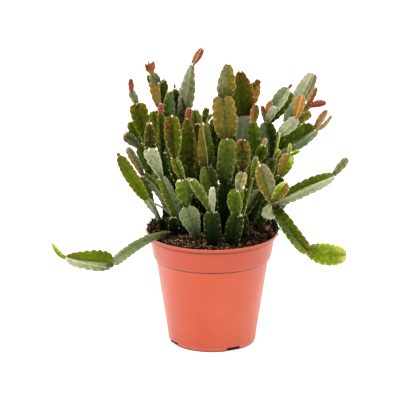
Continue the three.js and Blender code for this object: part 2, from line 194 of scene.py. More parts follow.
def unitGrid(tree, verticesX, verticesY):
    sizes = {"Size X": 1.0, "Size Y": 1.0, "Vertices X": verticesX, "Vertices Y": verticesY}
    return add(tree, "GeometryNodeMeshGrid", sizes)


def unitBall(tree):
    return add(tree, "GeometryNodeMeshIcoSphere", {"Radius": 1.0, "Subdivisions": 1})


def shares(tree):  # how far along X and Y a point of the unit grid lies, from 0 to 1
    return [coordinate(position(tree), letter) + 0.5 for letter in "XY"]


socketKinds = {float: "NodeSocketFloat", int: "NodeSocketInt", tuple: "NodeSocketVector"}


def newTree(name, sizes):  # a tree with one named input for each size
    tree = bpy.data.node_groups.new(name, "GeometryNodeTree")
    for way in ("INPUT", "OUTPUT"):
        tree.interface.new_socket("Geometry", in_out=way, socket_type="NodeSocketGeometry")
    for label, value in sizes.items():
        socket = tree.interface.new_socket(label, in_out="INPUT", socket_type=socketKinds[type(value)])
        socket.default_value = value
    start = tree.nodes.new("NodeGroupInput")
    given = {socket.name: Wire(tree, socket) for socket in start.outputs if socket.name}
    return tree, given


def finishTree(geometry):
    end = geometry.tree.nodes.new("NodeGroupOutput")
    plug(end.inputs[0], geometry)


def grown(name, mesh, tree, sizes):  # runs a tree on a mesh and keeps the result as a plain mesh
    source = bpy.data.objects.new(name + ".source", mesh)
    scene.collection.objects.link(source)
    modifier = source.modifiers.new("nodes", "NODES")
    modifier.node_group = tree
    for item in tree.interface.items_tree:
        if item.in_out == "INPUT" and item.name in sizes:
            modifier[item.identifier] = sizes[item.name]
    bpy.context.view_layer.update()
    evaluated = source.evaluated_get(bpy.context.evaluated_depsgraph_get())
    result = bpy.data.meshes.new_from_object(evaluated)
    source.modifiers.remove(modifier)
    bpy.data.objects.remove(source)
    piece = bpy.data.objects.new(name, result)
    scene.collection.objects.link(piece)
    return piece


def meshOf(name, corners, faces=()):
    mesh = bpy.data.meshes.new(name)
    mesh.from_pydata([Vector(c) * mm for c in corners], [], faces)
    return mesh


# Shader helpers

def newMaterial(name, roughness, specular):
    material = bpy.data.materials.new(name)
    material.use_nodes = True
    tree = material.node_tree
    shader = tree.nodes["Principled BSDF"]
    shader.inputs["Roughness"].default_value = roughness
    shader.inputs["Specular IOR Level"].default_value = specular
    return material, tree, shader


def place(tree):
    return add(tree, "ShaderNodeTexCoord", out="Object")


def noise(tree, size, detail=3.0):  # size is how big its features are, in mm
    inputs = {"Vector": place(tree), "Scale": 1 / (size * mm), "Detail": detail, "Roughness": 0.55}
    return add(tree, "ShaderNodeTexNoise", inputs, out="Fac")


def ramp(value, low, high):  # 0 at low, 1 at high, smooth between
    inputs = {"Value": value, "From Min": low, "From Max": high}
    return add(value.tree, "ShaderNodeMapRange", inputs, out="Result", interpolation_type="SMOOTHSTEP")


def blend(share, first, second):
    inputs = {"Factor": share, "A": first, "B": second}
    return add(share.tree, "ShaderNodeMix", inputs, out="Result", data_type="RGBA")


def layer(tree, name, out="Fac"):  # an attribute of the piece
    return add(tree, "ShaderNodeAttribute", out=out, attribute_name=name)


def vary(socket, pattern, spread):  # lets a pattern vary a value about its middle
    plug(socket, pattern * spread + (socket.default_value - spread / 2))


def bump(shader, height, depth):  # depth in mm
    inputs = {"Height": height, "Strength": 1.0, "Distance": depth * mm}
    plug(shader.inputs["Normal"], add(height.tree, "ShaderNodeBump", inputs))


# Pot

pot = {
    "height": 104, "wall": 1.4, "floor": 1.6, "floorRound": 2,
    "rim": 60, "lipHeight": 3, "lipInset": 0.3, "lipFillet": 0.6,  # rim, band, step and foot: radii
    "bandTop": 57.6, "bandFoot": 54.4, "bandBottom": 80.5, "bandRise": 1.5, "chamfer": 0.9,
    "step": 51.8, "stepBottom": 78.5, "foot": 40.2, "footRound": 1.2,
    "notches": 4, "firstNotch": -61, "notchWidth": 14, "notchHeight": 3.6, "notchDepth": 6, "notchLength": 10,
    "sides": 192, "cornerSteps": 4, "sharpFrom": 40, "merge": 0.01,
    "orange": "#b84a25", "light": "#be532f", "cloudSize": 55, "cloudFade": (0.35, 0.65),
    "dark": "#aa4020", "blotchSize": 1.4, "blotches": 0.35, "blotchFade": (0.5, 0.75),
    "speck": "#8c331b", "speckSize": 1.1, "specks": 0.55, "speckFade": (0.66, 0.76),
    # painted shade: the band is painted darker than the body
    "band": "#a83c1a", "bandShadeShare": 0.65, "bandFade": 2,
    # painted shade: dark lines under the lip, under the band and along the bottom edge, where shadow falls
    "paintedShade": "#571806", "paintedLineNoiseSize": 6, "paintedLineLeast": 0.35, "paintedLineVaries": 0.7, "innerShare": 0.3,
    "shadeLines": (100.1, 80.1, 0.1), "shadeLineWidth": 1.4, "shadeLineStrength": 1.15,
    # painted highlights: light lines on the lip's top and just above the foot
    "paintedHighlight": "#dd8a6c", "edges": (103.7, 3.2), "highlightLineWidth": 0.6, "highlightStrength": 0.5,
    "roughness": 0.5, "roughnessSpread": 0.16, "glossSize": 5, "specular": 0.5,
    "sheen": 0.32, "sheenRoughness": 0.5, "pebbleSize": 0.9, "pebbleDepth": 0.05,
}


def rounded(corners, steps):  # an outline whose corners are turned into short curves
    points = [Vector(corner[:2]) for corner in corners]
    outline = [points[0]]
    most = 0.45  # of each side of a corner
    for before, here, after, corner in zip(points, points[1:], points[2:], corners[1:]):
        back, ahead, size = before - here, after - here, corner[2]
        start = here + back.normalized() * min(size, back.length * most)
        end = here + ahead.normalized() * min(size, ahead.length * most)
        for step in range(steps + 1):
            t = step / steps
            outline.append(start * (1 - t) ** 2 + here * 2 * t * (1 - t) + end * t * t)
    return outline + [points[-1]]


def potOutline():  # each corner's radius, height and rounding, up the outside and down the inside
    lipBottom = pot["height"] - pot["lipHeight"]
    wall, foot, floor = pot["wall"], pot["foot"], pot["floor"]
    return rounded([
        (0, 0, 0), (foot - pot["footRound"], 0, 0.6), (foot, pot["footRound"] * 2, 0.5),
        (pot["step"], pot["stepBottom"], 0.5), (pot["bandFoot"] - pot["chamfer"], pot["bandBottom"], 0.4),
        (pot["bandFoot"], pot["bandBottom"] + pot["bandRise"], 0.8),
        (pot["bandTop"], lipBottom - pot["lipFillet"], 0.5), (pot["rim"] - pot["lipInset"], lipBottom, 0.5),
        (pot["rim"], pot["height"], 0.7), (pot["rim"] - wall, pot["height"], 0.7),
        (pot["bandTop"] - wall, lipBottom, 0.8), (pot["bandFoot"] - wall, pot["bandBottom"] + wall, 0.8),
        (pot["step"] - wall, pot["stepBottom"], 0.5), (foot - wall, floor + pot["floorRound"], 1.2),
        (foot - wall - pot["floorRound"], floor, 1.2), (0, floor, 0),
    ], pot["cornerSteps"])


def turnedMesh(tree, given, count):  # turns the outline round Z
    acrossShare, upShare = shares(tree)
    angle = acrossShare * (2 * math.pi)
    row = maths("ROUND", upShare * (count - 1))
    inputs = {"Geometry": given["Geometry"], "Value": position(tree), "Index": row}
    sampled = add(tree, "GeometryNodeSampleIndex", inputs, data_type="FLOAT_VECTOR", domain="POINT")
    radius = coordinate(sampled, "X")
    x, y = radius * maths("COSINE", angle), radius * maths("SINE", angle)
    grid = unitGrid(tree, given["Sides"] + 1, count)
    return merged(moved(grid, Position=combine(tree, x, y, coordinate(sampled, "Z"))), pot["merge"])


def onLevels(height, levels, width):  # 1 at each of these heights, 0 further off than the width
    full = width * pot["innerShare"]
    return sum(ramp(maths("ABSOLUTE", height - level), width, full) for level in levels)


def potMaterial():
    material, tree, shader = newMaterial("terracottaPlastic", pot["roughness"], pot["specular"])
    height = coordinate(place(tree), "Z") * (1 / mm)
    clouds = ramp(noise(tree, pot["cloudSize"], 2.0), *pot["cloudFade"])
    blotches = ramp(noise(tree, pot["blotchSize"]), *pot["blotchFade"])
    specks = ramp(noise(tree, pot["speckSize"], 1.0), *pot["speckFade"])
    # painted shade over the band
    shadedBand = ramp(height, pot["bandBottom"], pot["bandBottom"] + pot["bandFade"])
    uneven = noise(tree, pot["paintedLineNoiseSize"]) * pot["paintedLineVaries"] + pot["paintedLineLeast"]
    # painted shade in thin lines, which also take away the sheen there
    shadeLines = onLevels(height, pot["shadeLines"], pot["shadeLineWidth"])
    # painted highlight in thin lines
    edges = onLevels(height, pot["edges"], pot["highlightLineWidth"])
    base = blend(clouds, colour(pot["orange"]), colour(pot["light"]))
    for share, tone in ((blotches * pot["blotches"], "dark"), (specks * pot["specks"], "speck"),
                        (shadedBand * pot["bandShadeShare"], "band"), (shadeLines * uneven * pot["shadeLineStrength"], "paintedShade"),
                        (edges * uneven * pot["highlightStrength"], "paintedHighlight")):
        base = blend(share, base, colour(pot[tone]))
    plug(shader.inputs["Base Color"], base)
    plug(shader.inputs["Sheen Weight"], (1 - shadeLines) * pot["sheen"])
    shader.inputs["Sheen Roughness"].default_value = pot["sheenRoughness"]
    vary(shader.inputs["Roughness"], noise(tree, pot["glossSize"]), pot["roughnessSpread"])
    bump(shader, noise(tree, pot["pebbleSize"]), pot["pebbleDepth"])
    return material


def makePot():
    outline = [(point.x, 0, point.y) for point in potOutline()]
    sizes = {
        "Sides": pot["sides"], "Notches": pot["notches"], "First notch": math.radians(pot["firstNotch"]),
        "Notch radius": (pot["foot"] - pot["notchDepth"] + pot["notchLength"] / 2) * mm,
        "Notch size": (pot["notchLength"] * mm, pot["notchWidth"] * mm, pot["notchHeight"] * 2 * mm),
    }
    tree, given = newTree("potTurning", sizes)
    inputs = {"Vertices": given["Notches"], "Radius": given["Notch radius"]}
    ring = add(tree, "GeometryNodeMeshCircle", inputs)
    turn = combine(tree, 0.0, 0.0, given["First notch"])
    ring = add(tree, "GeometryNodeTransform", {"Geometry": ring, "Rotation": turn})
    block = add(tree, "GeometryNodeMeshCube", {"Size": given["Notch size"]})
    blocks = realized(copies(ring, block, Rotation=aligned(position(tree), "X")))
    inputs = {"Mesh 1": turnedMesh(tree, given, len(outline)), "Mesh 2": blocks}
    cut = add(tree, "GeometryNodeMeshBoolean", inputs, out="Mesh", operation="DIFFERENCE", solver="EXACT")
    finishTree(painted(realized(cut), potMaterial()))
    piece = grown("pot_shell", meshOf("pot_outline", outline), tree, sizes)
    piece.data.shade_smooth()
    piece.data.set_sharp_from_angle(angle=math.radians(pot["sharpFrom"]))
    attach(piece, body)
    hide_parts("pot")


# Soil

soil = {
    "edge": 101.5, "crown": 4,  # its height at the wall, and how much more in the middle
    "heaps": [(46, 9, 12, 11), (-49, 12, 8, 11)],  # across, back, height and spread
    "mounds": [(42, -15, 9, 8), (24, -24, 3, 7)],  # the same, over the feet of some stems
    "ripple": (0.7, 0.21, 0.27), "relief": 2.0, "reliefScale": 190.0, "reliefMiddle": 0.55,  # scale: per m
    "slumpFrom": 0.9, "overRim": 0.7, "rimCover": 0.8,  # how its edge slumps and covers the rim
    "inset": 0.7, "wallGap": 0.3, "underEdge": 3, "overBand": 4, "overFloor": 2.4, "clearance": 0.4,
    "rings": 44, "sides": 120, "topDepth": 1, "edgeClear": 2.2, "spill": 6, "seed": 7,
    "shapes": {"lump": (3, 0.5), "bead": (5, 0.25)},  # seed, and how rough
    "grains": {  # how many, shape, smallest and largest, how flat, the finish, and what is added to the seed
        "Crumbs": (2500, "lump", (0.4, 1.25), 1.0, "peatDark", 0),
        "Clods": (900, "lump", (1.1, 2.1), 0.8, "peatDark", 5),
        "Chips": (1250, "lump", (0.5, 1.5), 0.5, "peatCrumb", 10),
        "Perlite": (280, "bead", (0.35, 0.9), 1.0, "perliteGrain", 20),
    },
    "fibres": 880, "onHeaps": 7.0,  # how many lie on even soil, and how many times more on a heap
    "roots": 0.5, "rootsOverRim": 5,  # for each of those fibres, on a heap and where it lies over the rim
    "heapFrom": -1, "heapFull": 4, "rimReach": 0.2, "fringe": 2,  # what counts as a heap, and as over the rim
    "strands": {  # smallest and largest, the thickness as a share, the finish, and what is added to the seed
        "Fibres": ((1.4, 4.4), 0.1, "rootFibre", 30),
        "Roots": ((2.6, 5.6), 0.07, "rootDark", 40),
    },
    "dark": "#150b07", "brown": "#4c3021", "tan": "#ad8662",
    "pale": "#cdbfa6", "white": "#f1ece0", "strand": "#d2b28c",
    "finishes": {  # light tone, dark tone and the size of its marks
        "peatDark": ("brown", "dark", 3), "peatCrumb": ("tan", "brown", 6),
        "perliteGrain": ("white", "pale", 4), "rootFibre": ("strand", "brown", 8),
        "rootDark": ("brown", "dark", 8),
    },
    "toneFade": (0.42, 0.62), "roughness": 0.9, "specular": 0.25, "grainDepth": 0.3, "grainSize": 0.4,
    "slimmest": (0.6, 0.6, 0.5), "fullest": (1.4, 1.2, 1.0),  # how a grain is stretched each way
    "bow": ((-1.0, 0.0, 0.0), (0.0, 0.7, 0.35), (1.0, 0.0, 0.1)),  # how a fibre is bent
}
soilRadius = pot["bandTop"] - pot["wall"] - soil["inset"]


def clamp(value):
    return min(max(value, 0), 1)


def heaped(x, y, heaps):
    return sum(height * math.exp(-((x - heapX) ** 2 + (y - heapY) ** 2) / (2 * spread ** 2))
               for heapX, heapY, height, spread in heaps)


def soilTop(x, y):  # where the stems stand
    z = soil["edge"] + soil["crown"] * (1 - (x * x + y * y) / soilRadius ** 2)
    height, alongX, alongY = soil["ripple"]
    return z + heaped(x, y, soil["heaps"]) + height * math.sin(x * alongX + 1) * math.cos(y * alongY)


def reachOut(z):  # how far soil that stands this high reaches from the axis: to the wall, or onto the rim
    above = (z - pot["height"]) / pot["lipHeight"]
    onRim = clamp(above) * pot["wall"] * soil["rimCover"]
    inner = pot["bandTop"] + (pot["rim"] - pot["bandTop"]) * clamp(above + 1)
    return inner - pot["wall"] - soil["wallGap"] + onRim


def soilMesh():  # the top in rings, then down the pot's inside and closed below
    rings, sides = soil["rings"], soil["sides"]
    angles = [2 * math.pi * side / sides for side in range(sides)]
    directions = [(math.cos(angle), math.sin(angle)) for angle in angles]
    corners = [(0, 0, soilTop(0, 0))]
    for ring in range(1, rings + 1):
        share = ring / rings
        slump = max(0, (share - soil["slumpFrom"]) / (1 - soil["slumpFrom"])) ** 2
        for cos, sin in directions:
            edge = soilTop(soilRadius * cos, soilRadius * sin)
            x, y = reachOut(edge) * share * cos, reachOut(edge) * share * sin
            top = soilTop(x, y) + heaped(x, y, soil["mounds"])
            low = min(top, edge, pot["height"] + soil["overRim"])
            corners.append((x, y, top + (low - top) * slump))
    inset = pot["wall"] + soil["inset"]
    below = [
        (soilRadius - soil["inset"], soil["edge"] - soil["underEdge"]),
        (pot["bandFoot"] - inset, pot["bandBottom"] + soil["overBand"]),
        (pot["step"] - inset, pot["stepBottom"]), (pot["foot"] - inset, pot["floor"] + soil["overFloor"]),
        (pot["foot"] - inset, soil["clearance"]),  # so that dark peat shows in the notches of the foot as painted shade
    ]
    for radius, z in below:
        corners += [(radius * cos, radius * sin, z) for cos, sin in directions]
    corners.append((0, 0, soil["clearance"]))

    def at(ring, side):
        return 1 + (ring - 1) * sides + side % sides

    faces = []
    last = rings + len(below)
    for side in range(sides):
        faces.append((0, at(1, side), at(1, side + 1)))
        faces.append((len(corners) - 1, at(last, side + 1), at(last, side)))
        for ring in range(1, last):
            faces.append((at(ring, side), at(ring + 1, side), at(ring + 1, side + 1), at(ring, side + 1)))
    return meshOf("soil_base", corners, faces)


def soilMaterial(name):
    light, dark, size = soil["finishes"][name]
    material, tree, shader = newMaterial(name, soil["roughness"], soil["specular"])
    share = ramp(noise(tree, size, 4.0), *soil["toneFade"])
    plug(shader.inputs["Base Color"], blend(share, colour(soil[dark]), colour(soil[light])))
    bump(shader, noise(tree, size * soil["grainSize"], 4.0), soil["grainDepth"])
    return material


def scattered(ground, zone, density, shape, limits, flat, finish, seed):
    tree = ground.tree
    points = add(tree, "GeometryNodeDistributePointsOnFaces", {
        "Mesh": ground, "Density": density, "Seed": seed, "Selection": named(tree, zone, "BOOLEAN"),
    }, out="Points", distribute_method="RANDOM")
    size = randomBetween(tree, limits[0] * mm, limits[1] * mm, seed + 1)
    slimmest, fullest = ((x, y, z * flat) for x, y, z in (soil["slimmest"], soil["fullest"]))
    stretch = randomBetween(tree, slimmest, fullest, seed + 2)
    turn = randomBetween(tree, (0.0, 0.0, 0.0), (6.283, 6.283, 6.283), seed + 3)  # any way round
    return painted(realized(copies(points, shape, Rotation=turn, Scale=stretch * size)), finish)


def crumbShape(tree, seed, rough):
    return moved(unitBall(tree), Offset=position(tree) * randomBetween(tree, -rough, rough, seed))


def fibreShape(tree, radius):
    start, middle, end = soil["bow"]
    bow = add(tree, "GeometryNodeCurveQuadraticBezier", {
        "Resolution": 3, "Start": start, "Middle": middle, "End": end,
    })
    section = add(tree, "GeometryNodeCurvePrimitiveCircle", {"Resolution": 3, "Radius": radius})
    return add(tree, "GeometryNodeCurveToMesh", {"Curve": bow, "Profile Curve": section, "Fill Caps": True})


def makeSoil():
    area = math.pi * (soilRadius * mm) ** 2
    sizes = {label: grain[0] / area for label, grain in soil["grains"].items()}
    sizes.update({
        "Fibres": soil["fibres"] / area, "On heaps": soil["onHeaps"], "Relief": soil["relief"] * mm,
        "Seed": soil["seed"],
    })
    tree, given = newTree("soilCrumbs", sizes)
    where = position(tree)
    height, fromAxis = coordinate(where, "Z"), maths("LENGTH", where * (1.0, 1.0, 0.0))

    inputs = {"Scale": soil["reliefScale"], "Detail": 4.0, "Roughness": 0.6}
    wobble = add(tree, "ShaderNodeTexNoise", inputs, out="Fac") - soil["reliefMiddle"]
    onTop = compare(height, "GREATER_THAN", (soil["edge"] - soil["topDepth"]) * mm)
    lift = combine(tree, 0.0, 0.0, wobble * given["Relief"] * 2)
    ground = moved(given["Geometry"], Offset=lift, Selection=onTop)

    innerRadius = (reachOut(soil["edge"]) - soil["edgeClear"]) * mm
    aboveRim = maths("GREATER_THAN", height, (pot["height"] - soil["rimReach"]) * mm)
    inner = compare(fromAxis, "LESS_THAN", innerRadius)
    spilled = compare(fromAxis - aboveRim * soil["spill"] * mm, "LESS_THAN", innerRadius)
    ground = store(ground, "inner", both(inner, onTop), "BOOLEAN")
    ground = store(ground, "open", both(spilled, onTop), "BOOLEAN")

    finishes = {name: soilMaterial(name) for name in soil["finishes"]}
    shapes = {name: crumbShape(tree, *values) for name, values in soil["shapes"].items()}
    parts = [painted(ground, finishes["peatDark"])]
    for label, (count, shape, limits, flat, finish, seed) in soil["grains"].items():
        parts.append(scattered(ground, "inner", given[label], shapes[shape], limits, flat, finishes[finish],
                               given["Seed"] + seed))

    level = soil["edge"] + soil["crown"]
    high = ramp(height, (level + soil["heapFrom"]) * mm, (level + soil["heapFull"]) * mm)
    half = soil["fringe"] * mm
    fringe = aboveRim * ramp(fromAxis, innerRadius - half, innerRadius + half)
    fibres = given["Fibres"] * (1 + high * given["On heaps"])
    roots = fibres * high * soil["roots"] + fringe * fibres * soil["rootsOverRim"]
    for density, (limits, thickness, finish, seed) in zip((fibres, roots), soil["strands"].values()):
        shape = fibreShape(tree, thickness)
        parts.append(scattered(ground, "open", density, shape, limits, 1.0, finishes[finish],
                               given["Seed"] + seed))
    finishTree(realized(joined(*parts)))
    piece = grown("peat_soil", soilMesh(), tree, sizes)
    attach(piece, body)
    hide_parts("soil")


# Stems

stem = {
    "neckRadius": 2.4, "neckTop": 3, "neckBottom": -8,  # the woody foot in its hole
    "neckWidth": 2.1, "neckEdge": 0.85, "mostEdge": 0.22, "mostDip": 0.17,  # as shares of the radius
    "padStart": 2, "sunk": 5, "tuckIn": 2.2, "lift": 0.06,  # where segments start, and how they arch
    "widest": 0.58, "core": 1.5, "edgeThickness": 0.8, "endRound": 0.8,
    "ring": 28, "longSteps": 66, "shortSteps": 26, "shortLength": 14, "bunching": 0.4, "merge": 0.005,
    "sectionPower": 1.8, "fleshPower": 1.6, "rimPower": 8, "cupPower": 1.5, "shoulderFrom": 0.7,
    "lobeLean": 1.5, "lobePower": 0.6, "lobeLeast": 0.6, "lobeVaries": 0.9,
    "wave": 0.7, "waves": 1.4, "waveReach": 9, "waveFrom": 2.8, "wavePhase": 0.37,
    "twist": 0.45, "twistTurns": 40, "cup": 0.35, "cupTurns": 23, "phaseSteps": (0.37, 0.61), "seed": 11,
    "wool": 0.42, "woolSizes": (0.5, 1.2), "woolFrom": 0.08, "woolTo": 0.985, "onMargin": 0.985,
    "leastDip": 0.2, "leastTipWool": 0.1, "puffLeast": (0.7, 0.7, 0.5), "puffMost": (1.3, 1.3, 1.2),
    "bristles": 4, "bristleLength": 1.2, "bristleRadius": 0.07, "hairSizes": (0.4, 1.2),
    "tuftLean": 0.6, "notchLean": 0.8, "tipLean": 0.9, "tipPuffs": 16, "tipHairs": 14,
    "tipSizes": (0.6, 1.2), "tipSunk": 0.3, "tipSlack": 0.8,
    "tuftRoughness": 0.95, "tuftSpecular": 0.15, "tuftPatch": 5,
    "woolTones": ("#b59c7c", "#e8e0d0"), "bristleTones": ("#8a6a48", "#cdb896"),
    "skin": (0.5, 0.05, 0.05), "shootSkin": (0.45, 0.12, 0.2),  # roughness, specular, strength of the veins
    "areas": {  # where each tone starts, where it is full, how strong it is, and how far clouds shift it
        "edge": (0.56, 1.08, 1.0, 0.8), "tip": (0.62, 1.05, 0.8, 0.8),
        "rib": (0.26, 0.03, 0.85, -0.3), "base": (0.46, 0.0, 1.0, 0.35),
    },
    "footFade": (0.1, 0.55), "footLeast": 0.42, "footVaries": 0.5, "areaTilt": 0.12,
    "marks": {  # where each starts and where it is full, and how strong it is
        "vein": (0.12, 0.02, 1.0), "pale": (0.5, 0.75, 0.16), "dark": (0.52, 0.28, 0.42),
        "fine": (0.6, 0.72, 0.26), "dot": (0.7, 0.3, 0.45), "line": (0.6, 0.15, 0.7),
    },
    "veinFade": (0.15, 0.4), "veinSlant": 0.5, "dotFade": (0.3, 0.6), "dotInset": 1.3, "lineSway": 1.8,
    "skinSpread": 0.2, "cloudSize": 9, "mottleSize": 2.6, "fineSize": 0.7,
    "reliefDepth": 0.2, "veinRelief": -0.5, "fineRelief": 0.25, "handBlend": 0.4, "tuftFade": (0.4, 0.6),
}
# The photo's camera: how steeply it looks down, how far off it is, and what it looks at across and up.
sight = {"slope": math.radians(16), "distance": 2000, "across": -11.2, "up": 128.3}

# How each kind of segment grows: how full its foot and its tip are, how far apart and how deep the notches of
# its margin are, how far its shoulders stand past the tip, how wide the wool at its tip spreads and how thick
# that wool is.
growthParts = ("basePower", "tipPower", "crestSpacing", "dip", "flare", "spread", "tipWool")
growths = {
    "pad": (1.55, 2.4, 5.4, 1.0, 0.05, 0.2, 0.7),
    "blunt": (1.6, 3.6, 5.8, 1.5, 0.14, 0.36, 0.85),
    "strap": (2.7, 3.0, 5.4, 0.9, 0.06, 0.3, 0.65),
    "wedge": (1.3, 3.4, 5.4, 1.1, 0.08, 0.34, 0.95),
    "oval": (2.0, 2.3, 4.8, 1.2, 0.02, 0.16, 0.5),
    "broadFoot": (2.5, 1.6, 5.8, 1.6, 0, 0.18, 0.85),
    "scalloped": (1.7, 2.3, 5.8, 1.8, 0.04, 0.16, 0.55),
    "lance": (1.45, 1.4, 5.0, 0.5, 0, 0.08, 0.3),
    "shoot": (1.5, 1.45, 4.2, 0.35, 0, 0.08, 0.25),
    "bud": (1.7, 1.7, 2.6, 0.9, 0.1, 0.3, 0.3),
    "sprout": (1.5, 1.7, 4.5, 0.25, 0, 0.1, 0.25),
    "crown": (1.2, 9, 9.0, 0.2, 0.75, 0.1, 0.25),
    "neck": (6, 6, 6.0, 0, 0, 0, 0),
}

# The tones of each tint, in the order of toneParts: near the base, darker there as painted shade, the face,
# towards the margin, towards the tip, the margin line and the midrib.
toneParts = ("Base", "Face", "Edge", "Tip", "Rim", "Rib")
tints = {
    "deep": ("#0a1002", "#263507", "#38480d", "#4a5814", "#84905a", "#182402"),
    "slate": ("#1e2912", "#65724b", "#78855c", "#848c62", "#b2b692", "#55633c"),
    "leaf": ("#121b04", "#3f5008", "#535f12", "#656f16", "#a2aa5c", "#2b3a05"),
    "moss": ("#182208", "#4a591c", "#5f6a2b", "#717a32", "#b0b276", "#3a481a"),
    "bright": ("#1a280a", "#42560f", "#57691b", "#6e7b26", "#b0b66a", "#55692c"),
    "lime": ("#3c4806", "#6e7e0c", "#a0a63a", "#bcbc5c", "#dcdc9c", "#5f7018"),
    "sage": ("#353f2a", "#868c68", "#9c9e7a", "#aaa98a", "#d0ceae", "#a0a684"),
    "silver": ("#5e6a4a", "#949a78", "#a6a886", "#b2b092", "#d6d2b8", "#b8b8a0"),
    "sunny": ("#4c6008", "#5a6a0c", "#7a7012", "#5c5218", "#b09a54", "#3a4c06"),
    "olive": ("#131a03", "#445209", "#716c0e", "#686212", "#b09a54", "#1e2903"),
    "bronze": ("#121a04", "#303a07", "#6a5814", "#66521a", "#b89660", "#1a2203"),
    "khaki": ("#2c2e0c", "#67601e", "#826c28", "#846f38", "#c6ac7c", "#4a4c1e"),
    "amber": ("#64501a", "#a0762a", "#b3823c", "#a87040", "#d8b488", "#a0762a"),
    "ember": ("#6a6420", "#8b5c28", "#95532f", "#84442a", "#d6a486", "#84602c"),
    "red": ("#50301e", "#7a3920", "#86482c", "#64281c", "#c08c74", "#8e563c"),
    "blush": ("#544a2c", "#97805a", "#a58a68", "#a98962", "#d6c09e", "#7e7048"),
    "copper": ("#26340a", "#465009", "#8a5e1a", "#6c4a18", "#c0945e", "#222c04"),
    "ochre": ("#48400f", "#87702a", "#9a7a2e", "#907038", "#d4b888", "#6c6222"),
    "dusk": ("#30341a", "#74744f", "#88845e", "#7e7054", "#cfc6a6", "#4e482a"),
    "coral": ("#6a4428", "#8c4430", "#9a4c38", "#80382a", "#d09880", "#98604a"),
    "sand": ("#3a3618", "#8c7e46", "#a08c56", "#a89064", "#d8c8a0", "#7e7444"),
    # a darker copy of deep: painted shade for the feet of stems in the bush's shade
    "pine": ("#080d02", "#1a2606", "#27330b", "#323f0f", "#6e7c4c", "#101a02"),
    "wood": ("#1a140c", "#2a2714", "#373019", "#2f3a1a", "#4c4a2a", "#383419"),
}
youngTints = ("amber", "ember", "red", "blush")
shade = {  # painted shade inside the bush and at its foot, full from that share of its half-sizes
    "colour": "#050802",
    "zones": [
        {"middle": (0, 6, 120), "half": (50, 44, 58), "full": 0.45, "depth": 0.68},
        {"middle": (0, -12, 100), "half": (58, 70, 34), "full": 0.4, "depth": 0.72},
    ],
}
slimmestPad = 5
